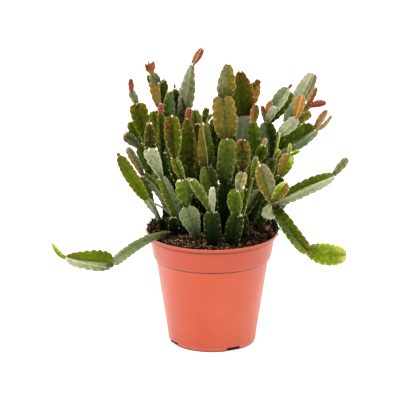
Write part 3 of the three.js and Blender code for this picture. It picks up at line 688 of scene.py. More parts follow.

# One row for each stem, as in the frame: name, root, then its segments. Each segment has what it grows from,
# its tip across and up as the camera sees it and in depth, its width, wings, turn and tint, and where needed
# its arch, where it is widest and its growth. Two tints are those of its left and its right side; besides
# their own colours they hold painted light and shade, one side paler as if lit, the other darker as in shade.
stems = [
    ["stem_trailing_left", [-34, -14], [
        ["a0", "root", -36.3, 112, -22, 10.5, 2, 0, "pine"],
        ["a1", "root", -93.3, 69.2, -62, 11.5, 2, -20, "slate", 7, 0.8],
        ["a2", "a1", -136, 75, -66, 21, 3, 105, "sage sunny", -2, 0.42, "broadFoot"],
        ["a3", "a2", -149, 88, -68, 7, 2, 45, "lime", -4.5, None, "shoot"],
    ]],
    ["stem_outer_left", [-44, -2], [
        ["b0", "root", -49, 111.5, -8, 9, 2, 10, "pine"],
        ["b1", "b0", -61.5, 130.5, -16, 8.5, 2, 10, "sage slate", None, 0.7],
        ["b2", "b1", -86.6, 169.3, -34, 12.5, 3, -85, "sunny", -1, None, "strap"],
        ["b3", "b2", -88.3, 172, -36, 4, 2, 0, "dusk"],
    ]],
    ["stem_left_pale", [-30, 4], [
        ["c1", "root", -65, 152, -8, 10, 2, 35, "sage leaf", 7],
        ["c0", "root", -57, 126, -4, 4, 2, 70, "sage", 4],
        ["c2", "c1", -78, 177, -18, 9, 2, 20, "sand slate"],
        ["c3", "c0", -66, 150, -9, 10, 2, 20, "moss"],
    ]],
    ["stem_left_forked", [-26, 15], [
        ["d1", "root", -58, 152, 20, 14, 2, 10, "moss"],
        ["d2", "d1", -67, 178, 18, 13, 2, -15, "moss", None, None, "blunt"],
        ["d3", "d2", -81.5, 188.5, 8, 10.5, 2, 0, "dusk slate", None, None, "wedge"],
        ["d4", "d2", -76, 201, 22, 10, 2, 15, "leaf"],
    ]],
    ["stem_left_bronze", [-24, -14], [
        ["e1", "root", -47, 149, -22, 12, 2, 0, "leaf slate"],
        ["e2", "e1", -58, 176.7, -26, 14, 3, -80, "sage", None, 0.64, "wedge"],
        ["e3", "e2", -58, 200, -28, 11.5, 2, 10, "bronze", None, 0.42, "broadFoot"],
    ]],
    ["stem_left_tall", [-14, 6], [
        ["f1", "root", -34, 137.6, 6, 11, 2, 30, "deep"],
        ["f2", "f1", -61, 178.6, 4, 12, 2, -20, "leaf"],
        ["f3", "f2", -70, 218.5, 4, 17, 3, -90, "olive", None, 0.64, "wedge"],
        ["f4", "f3", -75.5, 229.5, 2, 8, 2, 10, "dusk"],
        ["f5", "f4", -76, 241, 0, 5.5, 2, 0, "red"],
    ]],
    ["stem_crown_left", [-10, 22], [
        ["g1", "root", -30, 137.6, 24, 11, 2, -20, "deep"],
        ["g2", "g1", -39, 175, 26, 11, 3, 80, "leaf"],
        ["g3", "g2", -47.5, 213, 26, 12, 2, 15, "moss"],
        ["g4", "g3", -49.6, 238, 24, 18.5, 3, 90, "ochre olive", None, None, "blunt"],
        ["g5", "g4", -56.6, 245.6, 22, 9.5, 2, 0, "slate", None, None, "broadFoot"],
        ["g6", "g5", -58.4, 254.8, 20, 10, 3, -90, "ember", 0, 0.72, "crown"],
        ["g7", "g3", -59, 244.5, 34, 7, 2, 0, "deep"],
        ["g8", "g4", -43.9, 240.6, 25, 2.4, 2, 0, "blush"],
    ]],
    ["stem_crown_green", [-6, 9], [
        ["h1", "root", -25, 137.6, 10, 11, 2, 25, "deep"],
        ["h2", "h1", -36, 173, 10, 12, 2, -10, "deep"],
        ["h3", "h2", -41, 205.5, 10, 12, 2, 10, "leaf"],
        ["h4", "h3", -39, 229.5, 8, 11.5, 2, 0, "bright slate", None, 0.38, "broadFoot"],
    ]],
    ["stem_left_inner", [-21, 2], [
        ["i1", "root", -44, 142, -8, 11, 2, 0, "pine"],
        ["i2", "i1", -46.5, 172, -8, 13, 2, 15, "deep"],
        ["i3", "i2", -48, 209, -10, 10.5, 2, 20, "olive deep"],
        ["i4", "i3", -47, 217.6, -12, 5.5, 2, 0, "coral", None, None, "bud"],
        ["i5", "i2", -54.5, 211, 0, 11, 2, 10, "leaf", None, None, "strap"],
    ]],
    ["stem_front_left", [-12, -32], [
        ["j0", "root", -24, 122, -40, 19, 2, 0, "slate", None, 0.72, "pad"],
        ["j1", "j0", -26, 147, -46, 17, 2, -15, "bright", None, None, "blunt"],
        ["j2", "j1", -36, 168, -42, 9.5, 2, 10, "olive moss"],
        ["j3", "j2", -37.2, 206.5, -38, 16.5, 3, -90, "bronze olive"],
    ]],
    ["stem_crown_middle", [2, 17], [
        ["k1", "root", -20.5, 137.6, 18, 11, 2, -25, "deep"],
        ["k2", "k1", -24, 175, 18, 15.5, 2, 20, "deep"],
        ["k3", "k2", -26.5, 210, 16, 14, 2, 0, "deep"],
        ["k4", "k3", -35, 231.6, 12, 10, 2, 10, "deep", None, 0.36, "broadFoot"],
        ["k5", "k4", -35, 236, 12, 2.4, 2, 0, "red"],
        ["k6", "k3", -29, 233, 26, 6, 2, 0, "amber"],
        ["k7", "k3", -18, 255, 14, 15, 3, -84, "sage dusk", None, 0.38, "broadFoot"],
        ["k8", "k7", -9, 269, 12, 7.5, 3, 90, "ember coral"],
    ]],
    ["stem_middle_green", [4, 27], [
        ["l1", "root", -11.5, 152, 30, 17, 2, 15, "deep"],
        ["l2", "l1", -14, 184, 32, 14.5, 2, -10, "lime", None, None, "strap"],
        ["l3", "l2", -16, 212, 32, 12, 2, 0, "lime"],
    ]],
    ["stem_middle_dark", [-8, -14], [
        ["m1", "root", -20.5, 133, -13, 11, 2, 20, "pine"],
        ["m2", "m1", -22, 163, -14, 13, 2, -15, "deep"],
        ["m3", "m2", -23.5, 205, -16, 17.5, 3, -90, "olive bronze", 0, 0.34, "broadFoot"],
        ["m4", "m3", -20.5, 213.5, -17, 6, 2, 0, "coral", None, None, "bud"],
        ["m5", "m2", -13, 199, -6, 8, 2, 10, "bronze"],
    ]],
    ["stem_middle_front", [3, -12], [
        ["n1", "root", 0, 131, -22, 9, 2, 0, "pine"],
        ["n2", "n1", -4.5, 159, -26, 17, 2, 10, "moss deep"],
        ["n3", "n2", -8, 200, -30, 15.5, 3, 90, "khaki moss", None, 0.42, "broadFoot"],
        ["n4", "n3", -5, 214, -28, 6.5, 2, 0, "bronze"],
        ["n5", "n3", 0, 208, -24, 4, 2, 0, "lime"],
        ["n6", "n2", 3, 204, -12, 12, 2, 0, "deep"],
    ]],
    ["stem_crown_front", [13, -16], [
        ["o1", "root", 12, 145, -18, 17, 2, -10, "pine", None, None, "strap"],
        ["o2", "o1", 14, 186, -24, 17.5, 3, -90, "moss", None, None, "strap"],
        ["o3", "o2", 10.2, 225.5, -30, 22.5, 2, 0, "khaki", None, 0.42, "blunt"],
        ["o4", "o3", 14.8, 255.5, -30, 18, 3, -105, "dusk khaki", 0, 0.42, "broadFoot"],
        ["o5", "o1", 5, 193, -6, 13, 2, 10, "deep"],
    ]],
    ["stem_crown_right", [17, 4], [
        ["p1", "root", 24, 137.6, 4, 15, 2, 20, "deep"],
        ["p2", "p1", 29, 179.5, 2, 17, 2, -10, "moss"],
        ["p3", "p2", 29, 209, -2, 16, 2, 0, "sage", None, 0.45],
        ["p4", "p3", 26, 249, -8, 23.5, 3, -95, "copper", None, 0.4, "broadFoot"],
        ["p5", "p3", 41.8, 237, 6, 15, 2, 0, "copper ochre", None, 0.45, "scalloped"],
        ["p6", "p5", 44, 240, 5, 6, 2, 0, "red", None, None, "bud"],
        ["p7", "p1", 20, 192, 12, 12, 2, 0, "deep"],
    ]],
    ["stem_front_right", [16, -42], [
        ["q1", "root", 23, 114.4, -46, 16, 2, 0, "pine"],
        ["q2", "q1", 24.5, 137.6, -52, 17, 3, -60, "leaf bright"],
        ["q3", "q2", 29, 154.4, -50, 10.5, 2, 10, "dusk sand"],
        ["q4", "q3", 28, 184, -44, 14.5, 2, 0, "bronze"],
    ]],
    ["stem_front_middle", [1, -44], [
        ["r1", "root", 0, 117, -50, 16, 2, -5, "pine", None, None, "strap"],
        ["r2", "r1", 0, 139.5, -54, 6.5, 2, 0, "sage"],
        ["r3", "r1", -20, 147, -58, 10, 2, 20, "moss"],
    ]],
    ["stem_trailing_right", [37, -13], [
        ["s1", "root", 57.5, 126, -34, 10, 2, 0, "deep", 1.4],
        ["s2", "s1", 44, 161.8, -46, 16, 3, -90, "khaki dusk"],
        ["s3", "s1", 70, 144, -52, 12, 2, 0, "lime khaki"],
        ["s4", "s1", 113.5, 150.7, -38, 15.5, 3, 90, "leaf sage", 0.7, 0.42],
        ["s5", "s4", 126, 167, -40, 8, 2, 0, "dusk", 0],
        ["s6", "s1", 89.5, 80.4, -52, 14, 2, 0, "olive moss", -2.2, 0.6, "strap"],
        ["s7", "s6", 125, 78, -56, 20.5, 2, 0, "lime", -2.5, 0.5, "oval"],
        ["s8", "s1", 50.5, 111.5, -30, 13, 2, 0, "sage"],
        ["s9", "s1", 68, 122.5, -28, 8, 2, 0, "moss"],
    ]],
    ["stem_right_slim", [28, -28], [
        ["t1", "root", 29, 115, -30, 10, 2, 0, "pine"],
        ["t2", "t1", 44, 137, -26, 9, 2, 0, "slate pine"],
        ["t3", "t1", 38, 149, -28, 8, 2, 80, "bright"],
        ["t4", "t3", 41, 168, -30, 6, 2, 0, "lime"],
    ]],
    ["stem_right_tall", [29, 8], [
        ["u1", "root", 46.5, 133, 4, 11, 2, 20, "deep"],
        ["u2", "u1", 55, 165.5, 2, 12, 2, -10, "leaf"],
        ["u3", "u2", 50.2, 201.3, 4, 16.5, 3, -90, "slate deep"],
        ["u4", "u3", 54.5, 220.5, 2, 8.5, 2, 0, "amber", None, None, "lance"],
        ["u7", "u3", 58.5, 214.8, 0, 8, 2, 0, "silver"],
        ["u5", "u3", 71, 232.5, 6, 14, 3, -60, "slate sage", 0, None, "scalloped"],
        ["u6", "u5", 74.5, 236, 8, 3, 2, 0, "red"],
        ["u8", "u3", 73.5, 228.5, 17, 12, 2, 0, "leaf", -2],
        ["u9", "u3", 46.5, 216, 2, 5, 2, 0, "blush red"],
    ]],
    ["stem_outer_right_dark", [38, 13], [
        ["v1", "root", 52, 135, 13, 11, 2, -20, "deep"],
        ["v2", "v1", 61.4, 173, 10, 12, 2, 10, "leaf"],
        ["v3", "v2", 96.3, 194, -2, 20, 3, 80, "leaf slate", 1],
        ["v4", "v3", 107, 212, -4, 7, 2, 0, "ember blush", None, None, "lance"],
        ["v5", "v3", 111.5, 207, -8, 4.5, 2, 0, "blush", -3],
    ]],
    ["stem_right_young", [41, -2], [
        ["w1", "root", 52, 128, -19, 8, 2, 0, "deep"],
        ["w2", "w1", 64, 150, -24, 12, 2, 0, "deep"],
        ["w3", "w2", 72.5, 170.5, -26, 14, 2, 0, "ochre lime"],
        ["w4", "w3", 72.5, 181, -26, 3.5, 2, 0, "lime"],
        ["w5", "w3", 82, 174, -28, 4, 2, 0, "lime"],
    ]],
    ["stem_right_red_tip", [32, -4], [
        ["x1", "root", 50, 141, -4, 9, 2, 20, "deep"],
        ["x2", "x1", 58, 167, -12, 10, 2, -10, "leaf"],
        ["x3", "x2", 63, 190, -14, 8, 2, 80, "lime"],
        ["x4", "x2", 63, 175, -20, 4.5, 2, 0, "lime"],
        ["x6", "x3", 79, 204.6, -14, 11.5, 2, 0, "silver sage", 0],
        ["x7", "x6", 84, 226, -12, 11, 3, 90, "amber"],
        ["x8", "x3", 92, 209, -8, 10, 2, 0, "khaki"],
    ]],
    ["stem_right_green", [22, -7], [
        ["y1", "root", 35, 137.6, -10, 13, 2, -20, "deep"],
        ["y2", "y1", 42.5, 164, -14, 15, 2, 10, "leaf"],
        ["y3", "y2", 38, 201, -14, 12, 2, 0, "leaf"],
        ["y7", "y2", 48.5, 179, -22, 11, 2, 0, "leaf"],
        ["y4", "y7", 50, 185.5, -22, 5, 2, 0, "blush"],
        ["y5", "y3", 41, 217, -12, 8.5, 2, 0, "ember copper"],
        ["y8", "y3", 37.7, 213.9, -10, 5, 2, 0, "bronze"],
    ]],
    ["stem_outer_right", [30, 24], [
        ["z1", "root", 48, 142, 24, 11, 2, 10, "deep"],
        ["z2", "z1", 69.8, 200, 27, 12, 2, -10, "leaf"],
        ["z3", "z2", 94.4, 245.5, 34, 15.5, 3, -50, "silver dusk", 0, None, "strap"],
        ["z4", "z2", 90, 216, 15, 9, 2, 0, "khaki"],
        ["z5", "z4", 97, 233, 13, 6.5, 2, 0, "blush coral", None, None, "lance"],
        ["z6", "z4", 106, 218.5, 8, 7, 2, 0, "coral", None, None, "lance"],
    ]],
    ["stem_back_1", [-34, 24], [
        ["ba1", "root", -50, 140, 42, 10, 2, 10, "deep"],
        ["ba2", "ba1", -60, 176, 52, 13, 3, 90, "leaf"],
        ["ba3", "ba2", -66, 210, 54, 14, 2, 0, "olive"],
    ]],
    ["stem_back_2", [-19, 34], [
        ["bb1", "root", -30, 150, 54, 10, 2, -10, "deep"],
        ["bb2", "bb1", -42, 190, 64, 16, 3, 90, "leaf"],
        ["bb3", "bb2", -46, 222, 66, 13, 2, 15, "bronze"],
        ["bb4", "bb2", -33, 222, 60, 12, 2, 0, "leaf"],
    ]],
    ["stem_back_3", [-4, 38], [
        ["bc1", "root", -2, 146, 58, 18, 2, 0, "deep"],
        ["bc2", "bc1", -1.5, 182, 68, 18, 2, 10, "leaf", None, None, "strap"],
        ["bc3", "bc2", -12, 207, 70, 13, 3, 90, "bright"],
    ]],
    ["stem_back_4", [15, 34], [
        ["bd1", "root", 15, 150, 48, 16, 2, 15, "deep"],
        ["bd2", "bd1", 14, 190, 54, 17, 3, 90, "leaf"],
        ["bd3", "bd2", 10, 222, 52, 14, 2, 0, "khaki"],
    ]],
    ["stem_back_5", [31, 36], [
        ["be1", "root", 38, 150, 50, 14, 2, 0, "deep"],
        ["be2", "be1", 33, 182, 56, 14, 3, 90, "leaf"],
        ["be3", "be2", 34, 207, 58, 13, 2, 10, "sage"],
    ]],
    ["stem_back_6", [44, 22], [
        ["bf1", "root", 56, 132, 40, 10, 2, 10, "deep"],
        ["bf2", "bf1", 64, 166, 46, 13, 3, 90, "leaf"],
        ["bf3", "bf2", 57, 191, 50, 10, 2, 0, "bright"],
        ["bf4", "bf1", 49, 176, 44, 13, 2, 0, "deep"],
    ]],
    ["stem_back_7", [-42, 16], [
        ["bg1", "root", -41, 130, 26, 9, 2, 10, "deep"],
        ["bg2", "bg1", -58, 156, 30, 12, 3, 90, "sage"],
    ]],
    ["stem_back_8", [-28, 40], [
        ["bh1", "root", -40, 130, 66, 14, 2, 0, "leaf", 5],
        ["bh2", "bh1", -52, 142, 88, 13, 3, 90, "bright"],
    ]],
    ["stem_back_9", [6, 48], [
        ["bi1", "root", 6, 126, 74, 16, 2, 0, "leaf", 4],
        ["bi2", "bi1", 10, 144, 92, 14, 3, 90, "leaf"],
        ["bi3", "bi2", 8, 162, 96, 8, 2, 10, "deep"],
    ]],
    ["stem_back_10", [22, 44], [
        ["bj1", "root", 40, 128, 66, 13, 2, 0, "leaf", 5],
        ["bj2", "bj1", 54, 138, 86, 14, 3, 90, "olive"],
        ["bj3", "bj2", 60, 148, 94, 8, 2, 0, "khaki"],
    ]],
]


def onPlane(across, up):  # on the plane through the foot of the pot that faces the camera
    return Vector((across, up * math.sin(sight["slope"]), up * math.cos(sight["slope"])))


lookAlong = Vector((0, math.cos(sight["slope"]), -math.sin(sight["slope"])))
eye = onPlane(sight["across"], sight["up"]) - lookAlong * sight["distance"]


def seenAt(across, up, y):  # what lies this far back and looks to be at that point of the plane
    target = onPlane(across, up)
    return eye.lerp(target, (y - eye.y) / (target.y - eye.y))


def isYoung(tint):
    return tint.split()[0] in youngTints


def usualGrowth(parent, width, tint):
    if parent == "root" and width > slimmestPad:
        return "strap"
    if isYoung(tint):
        return "shoot"
    return "pad" if width > slimmestPad else "sprout"


def segmentRow(base, tip, width, tint, growth, wings=2, turn=0, lift=0, widest=0.5, phase=0.0,
               core=stem["core"], edge=stem["edgeThickness"] / 2):
    bend = (base + tip) / 2
    bend.z += 2 * lift
    length = (bend - base).length + (tip - bend).length
    reach = width / 2 if wings == 2 else width / math.sqrt(3)
    habit = dict(zip(growthParts, growths[growth]))
    row = {
        "start": base * mm, "bend": bend * mm, "end": tip * mm, "toward": (eye - bend).normalized(),
        "length": length * mm, "reach": reach * mm, "core": min(core, reach / 2) * mm,
        "edge": min(edge, reach * stem["mostEdge"]) * mm,
        "dip": min(habit["dip"], reach * stem["mostDip"]) * mm,
        "wings": float(wings), "turn": math.radians(turn), "skew": math.log(0.5) / math.log(widest),
        "steps": float(stem["shortSteps"] if length < stem["shortLength"] else stem["longSteps"]),
        "crests": float(max(1, round(length / habit["crestSpacing"]))),
        "basePower": habit["basePower"], "tipPower": habit["tipPower"], "flare": habit["flare"],
        "spread": habit["spread"] * width * mm, "tipWool": habit["tipWool"] * mm,
        "twist": stem["twist"] * math.sin(phase * stem["twistTurns"]),
        "cup": stem["cup"] * math.sin(phase * stem["cupTurns"]) if wings == 2 else 0.0,
        "phase": phase, "young": float(isYoung(tint)),
    }
    for side, name in zip(("Left", "Right"), tint.split() * 2):
        for part, code in zip(toneParts, tints[name]):
            row["tone" + part + side] = Vector(colour(code)[:3])
    return row


def segmentRows(spot, segments, stemIndex):
    x, y = spot
    ground = soilTop(x, y)
    root, foot, top = (Vector((x, y, ground + stem[key])) for key in ("padStart", "neckBottom", "neckTop"))
    neck, edge = stem["neckRadius"], stem["neckRadius"] * stem["neckEdge"]
    rows = [segmentRow(foot, top, neck * stem["neckWidth"], "wood", "neck", core=neck, edge=edge)]
    tips, starts = {"root": root}, {"root": root}
    segmentStep, stemStep = stem["phaseSteps"]
    for name, parent, across, up, depth, width, wings, turn, tint, *more in segments:
        arch, widest, growth = (more + [None] * 3)[:3]
        if parent == "root":
            base = root - Vector((0, 0, stem["sunk"] if arch is None else 0))
        else:
            base = tips[parent] + (starts[parent] - tips[parent]).normalized() * stem["tuckIn"]
        tip = seenAt(across, up, depth)
        starts[name], tips[name] = base, tip
        lift = stem["lift"] * math.hypot(tip.x - base.x, tip.y - base.y) if arch is None else arch
        phase = (len(rows) * segmentStep + stemIndex * stemStep) % 1.0
        growth = growth or usualGrowth(parent, width, tint)
        widest = widest or stem["widest"]
        rows.append(segmentRow(base, tip, width, tint, growth, wings, turn, lift, widest, phase))
    return rows


def stemPoints(name, rows):  # one point for each segment, which carries what shapes it
    mesh = bpy.data.meshes.new(name)
    mesh.vertices.add(len(rows))
    for key, value in rows[0].items():
        if isVector(value):
            data = mesh.attributes.new(key, "FLOAT_VECTOR", "POINT").data
            data.foreach_set("vector", [c for row in rows for c in row[key]])
        else:
            data = mesh.attributes.new(key, "FLOAT", "POINT").data
            data.foreach_set("value", [row[key] for row in rows])
    return mesh


def segmentGrid(tree, steps, ring):
    grid = unitGrid(tree, steps + 1, ring + 1)
    for name, share in zip(("even", "around"), shares(tree)):
        grid = store(grid, name, share)
    return grid


def segmentCurve(tree, t):  # the middle of a segment at the share t, the way it runs, its side and its front
    start, bend, end, toward = (
        named(tree, key, "FLOAT_VECTOR") for key in ("start", "bend", "end", "toward"))
    middle = start * ((1 - t) ** 2) + bend * ((1 - t) * t * 2) + end * (t ** 2)
    along = maths("NORMALIZE", (bend - start) * (1 - t) + (end - bend) * t)
    front = maths("NORMALIZE", toward - along * maths("DOT_PRODUCT", toward, along))
    return middle, along, maths("CROSS_PRODUCT", along, front), front


def fullnessAt(read, t):  # how wide a segment is at the share t, as a share of its width
    u = t ** read("skew")
    power = read("basePower") + maths("GREATER_THAN", u, 0.5) * (read("tipPower") - read("basePower"))
    return maths("MAXIMUM", 1 - maths("ABSOLUTE", u * 2 - 1) ** power, 0.0) ** (1 / power)


def wingAt(read):  # the wing a point lies on, how far out on it from 0 to 1, and on which of its two faces
    turns = read("around") * read("wings")
    wing = maths("FLOOR", turns + 0.0001)
    part = turns - wing
    outward = 1 - maths("MINIMUM", maths("ABSOLUTE", part * 2 - 1), 1.0) ** stem["sectionPower"]
    return wing, outward, maths("SIGN", part - 0.5)


def marginAt(read, wing, fullness):  # lobes that lean towards the tip and step back at each notch
    crest = read("even") * read("crests") + wing * 0.5
    mixed = maths("SINE", maths("FLOOR", crest) * 12.99 + read("phase") * 78.2 + wing * 37.7)
    chance = maths("FRACT", mixed * 437.6)  # differs from lobe to lobe
    depth = chance * stem["lobeVaries"] + stem["lobeLeast"]
    leaning = maths("FRACT", crest) ** stem["lobeLean"]
    bulge = maths("MAXIMUM", maths("SINE", leaning * math.pi), 0.0) ** stem["lobePower"]
    radius = read("core") + ((read("reach") - read("core")) - read("dip") * (1 - bulge) * depth) * fullness
    return crest, radius


def segmentForm(tree, given):  # where a point of a segment's skin lies, and what the materials and tufts read
    def read(name):
        return named(tree, name)

    even, wings, core, reach, edge = (read(name) for name in ("even", "wings", "core", "reach", "edge"))
    bunched = (1 - maths("COSINE", even * math.pi)) * 0.5
    t = even + (bunched - even) * given["Bunching"]
    fullness = fullnessAt(read, t)
    wing, outward, flank = wingAt(read)
    crest, radius = marginAt(read, wing, fullness)

    # The section: wings meet at the core, are fleshy there and have a round edge.
    valley = math.pi / wings
    innerOut, innerUp = core * maths("COSINE", valley), core * maths("SINE", valley)
    span = maths("MAXIMUM", radius - innerOut, 0.0)
    flesh = (innerUp - edge) * (1 - outward) ** stem["fleshPower"]
    thick = edge * maths("SQRT", 1 - outward ** stem["rimPower"]) + flesh
    phase = read("phase") + wing * stem["wavePhase"]
    ripple = maths("SINE", (even * given["Waves"] + phase) * (2 * math.pi))
    waves = (reach / (stem["waveReach"] * mm)) * maths("GREATER_THAN", reach, stem["waveFrom"] * mm)
    sway = ripple * outward ** 2 * fullness * given["Wave"] * waves
    endShare = maths("MINIMUM", maths("MINIMUM", t, 1 - t) * read("length") / given["End round"], 1.0)
    close = maths("SQRT", maths("MAXIMUM", 1 - (1 - endShare) ** 2, 0.0))
    out = (innerOut + span * outward) * close
    across = (thick * flank + sway) * close

    # Its place: the section stands across the curve and turns along it.
    middle, along, side, front = segmentCurve(tree, t)
    turn = read("turn") + read("twist") * (t - 0.5)
    angle = turn + wing * (2 * math.pi) / wings
    cos, sin = maths("COSINE", angle), maths("SINE", angle)
    outDirection = side * cos + front * sin
    offset = outDirection * out + (front * cos - side * sin) * across
    facing = front * maths("COSINE", turn) - side * maths("SINE", turn)
    cupped = facing * (read("cup") * outward ** stem["cupPower"] * out)
    shoulder = along * (read("flare") * out * out / reach * ramp(t, stem["shoulderFrom"], 1.0))

    form = {
        "along": t, "outward": outward, "crest": crest, "margin": (1 - outward) * span * (1 / mm),
        "notch": (maths("FRACT", crest + 0.5) - 0.5) * read("length") * (1 / mm) / read("crests"),
        "tuft": maths("NORMALIZE", outDirection + along * stem["tuftLean"]),
    }
    # each side takes its own tint, which holds painted light and shade besides its colour
    hand = ramp(maths("DOT_PRODUCT", offset, side), -stem["handBlend"] * mm, stem["handBlend"] * mm)
    for part in toneParts:
        left, right = (named(tree, "tone" + part + name, "FLOAT_VECTOR") for name in ("Left", "Right"))
        form["tone" + part] = left + (right - left) * hand
    return middle + offset + cupped + shoulder, form


def puffs(spots, size, seed, facing, material):
    stretch = randomBetween(spots.tree, stem["puffLeast"], stem["puffMost"], seed)
    grains = copies(spots, unitBall(spots.tree), Rotation=facing, Scale=stretch * size)
    return painted(realized(grains), material)


def hairs(spots, length, seed, direction, lean, material):
    tree = spots.tree
    hair = add(tree, "GeometryNodeMeshCone", {
        "Vertices": 3, "Radius Bottom": length * stem["bristleRadius"], "Radius Top": 0.0, "Depth": length,
    })
    facing = aligned(direction + randomVector(tree, lean, seed), "Z")
    size = randomBetween(tree, *stem["hairSizes"], seed + 1)
    return painted(realized(copies(spots, hair, Rotation=facing, Scale=size)), material)


def repeated(spots, amount):
    inputs = {"Geometry": spots, "Amount": amount}
    return add(spots.tree, "GeometryNodeDuplicateElements", inputs, out="Geometry", domain="POINT")


def notchTufts(tree, skin, given, wool, bristle):  # wool and bristles in the notches of the margins
    share = named(tree, "crests") / named(tree, "steps")
    chosen = compare(maths("FRACT", named(tree, "crest")), "LESS_THAN", share)
    chosen = both(chosen, compare(named(tree, "even"), "LESS_THAN", stem["woolTo"]))
    limits = {"even": stem["woolFrom"], "outward": stem["onMargin"], "dip": stem["leastDip"] * mm}
    for name, least in limits.items():
        chosen = both(chosen, compare(named(tree, name), "GREATER_THAN", least))
    spots = add(tree, "GeometryNodeMeshToPoints", {"Mesh": skin, "Selection": chosen}, mode="VERTICES")
    direction = named(tree, "tuft", "FLOAT_VECTOR")
    size = randomBetween(tree, *stem["woolSizes"], given["Seed"]) * given["Wool"]
    many = repeated(spots, given["Bristles"])
    return [
        puffs(spots, size, given["Seed"] + 1, aligned(direction, "Z"), wool),
        hairs(many, given["Bristle"], given["Seed"] + 2, direction, stem["notchLean"], bristle),
    ]


def tipTufts(tree, given, wool, bristle):  # a woolly cushion across the blunt tip of each segment
    thick, spread, turn = (named(tree, name) for name in ("tipWool", "spread", "turn"))
    spots = add(tree, "GeometryNodeMeshToPoints", {
        "Mesh": given["Geometry"], "Position": named(tree, "end", "FLOAT_VECTOR"),
        "Selection": compare(thick, "GREATER_THAN", stem["leastTipWool"] * mm),
    }, mode="VERTICES")
    middle, along, side, front = segmentCurve(tree, 1.0)
    across = side * maths("COSINE", turn) + front * maths("SINE", turn)
    cushions = []
    for amount, seed in ((given["Tip puffs"], 20), (given["Tip hairs"], 30)):
        sideways = randomBetween(tree, -1.0, 1.0, given["Seed"] + seed)
        slack = randomVector(tree, 1.0, given["Seed"] + seed + 1) * (thick * stem["tipSlack"])
        rise = named(tree, "flare") * spread * sideways * sideways - thick * stem["tipSunk"]
        offset = across * (sideways * spread) + along * rise + slack
        cushions.append(moved(repeated(spots, amount), Offset=offset))
    grain = randomBetween(tree, *stem["tipSizes"], given["Seed"] + 40) * thick
    return [
        puffs(cushions[0], grain, given["Seed"] + 41, aligned(along, "Z"), wool),
        hairs(cushions[1], given["Bristle"], given["Seed"] + 42, along, stem["tipLean"], bristle),
    ]


def stemTree(sizes):
    tree, given = newTree("stemSegments", sizes)
    grids = []
    for operation, steps in (("GREATER_THAN", given["Long steps"]), ("LESS_THAN", given["Short steps"])):
        chosen = compare(named(tree, "steps"), operation, stem["shortSteps"] + 0.5)
        grids.append(copies(given["Geometry"], segmentGrid(tree, steps, given["Ring"]), Selection=chosen))
    skin = realized(joined(*grids))
    spot, form = segmentForm(tree, given)
    for name, value in form.items():
        skin = store(skin, name, value)
    skin = merged(moved(skin, Position=spot), stem["merge"])
    wool = tuftMaterial("areoleWool", *stem["woolTones"])
    bristle = tuftMaterial("areoleBristle", *stem["bristleTones"])
    tufts = notchTufts(tree, skin, given, wool, bristle) + tipTufts(tree, given, wool, bristle)
    skin = painted(skin, stemMaterial("stemSkin", *stem["skin"]))
    isShoot = compare(named(tree, "young"), "GREATER_THAN", 0.5)
    skin = painted(skin, stemMaterial("youngShootSkin", *stem["shootSkin"]), isShoot)
    finishTree(realized(joined(skin, *tufts)))
    return tree


def stemMaterial(name, roughness, specular, veining):
    material, tree, shader = newMaterial(name, roughness, specular)
    along, outward, crest, margin, notch, phase = (
        layer(tree, key) for key in ("along", "outward", "crest", "margin", "notch", "phase"))
    base, face, edge, tip, rim, rib = (layer(tree, "tone" + part, "Color") for part in toneParts)
    drift = noise(tree, stem["cloudSize"]) - 0.5
    mottle, fine = noise(tree, stem["mottleSize"]), noise(tree, stem["fineSize"], 2.0)

    def area(name, value):
        start, full, strength, shift = stem["areas"][name]
        return ramp(value + drift * shift, start, full) * strength

    def mark(name, value):
        start, full, strength = stem["marks"][name]
        return ramp(value, start, full) * strength

    # Broad areas: the face, its edge tone outwards and its tip tone upwards, then the midrib and the base,
    # whose dark tone at each segment's foot is painted shade.
    fromFoot = ramp(along, *stem["footFade"]) * stem["footVaries"] + stem["footLeast"]
    skin = blend(area("edge", outward) * fromFoot, face, edge)
    skin = blend(area("tip", along + outward * stem["areaTilt"]), skin, tip)
    skin = blend(area("rib", outward), skin, rib)
    skin = blend(area("base", along + phase * stem["areaTilt"]), skin, base)

    # Marks: veins to each lobe, mottling, fine specks, a pale dot in each notch and the line of the margin.
    veinAt = crest - (1 - outward) * stem["veinSlant"]
    fromVein = maths("ABSOLUTE", maths("FRACT", veinAt + 0.5) - 0.5)
    veins = mark("vein", fromVein) * ramp(outward, *stem["veinFade"])
    inset = margin - stem["dotInset"]
    fromDot = maths("SQRT", notch * notch + inset * inset)
    dots = mark("dot", fromDot) * ramp(outward, *stem["dotFade"])
    line = mark("line", margin + (mottle - 0.5) * stem["lineSway"])
    for share, tone in ((veins * veining, rim), (mark("pale", mottle), rim), (mark("dark", mottle), base),
                        (mark("fine", fine), rim), (dots, rim), (line, rim)):
        skin = blend(share, skin, tone)
    # painted shade: darker towards the middle of the bush and of its foot
    for zone in shade["zones"]:
        middle, scale = tuple(c * mm for c in zone["middle"]), tuple(1 / (half * mm) for half in zone["half"])
        fromMiddle = maths("LENGTH", (place(tree) - middle) * scale)
        skin = blend(ramp(fromMiddle, 1.0, zone["full"]) * zone["depth"], skin, colour(shade["colour"]))
    plug(shader.inputs["Base Color"], skin)
    vary(shader.inputs["Roughness"], mottle, stem["skinSpread"])
    bump(shader, veins * stem["veinRelief"] + mottle + fine * stem["fineRelief"], stem["reliefDepth"])
    return material


def tuftMaterial(name, dark, light):
    material, tree, shader = newMaterial(name, stem["tuftRoughness"], stem["tuftSpecular"])
    patches = ramp(noise(tree, stem["tuftPatch"]), *stem["tuftFade"])
    plug(shader.inputs["Base Color"], blend(patches, colour(dark), colour(light)))
    return material


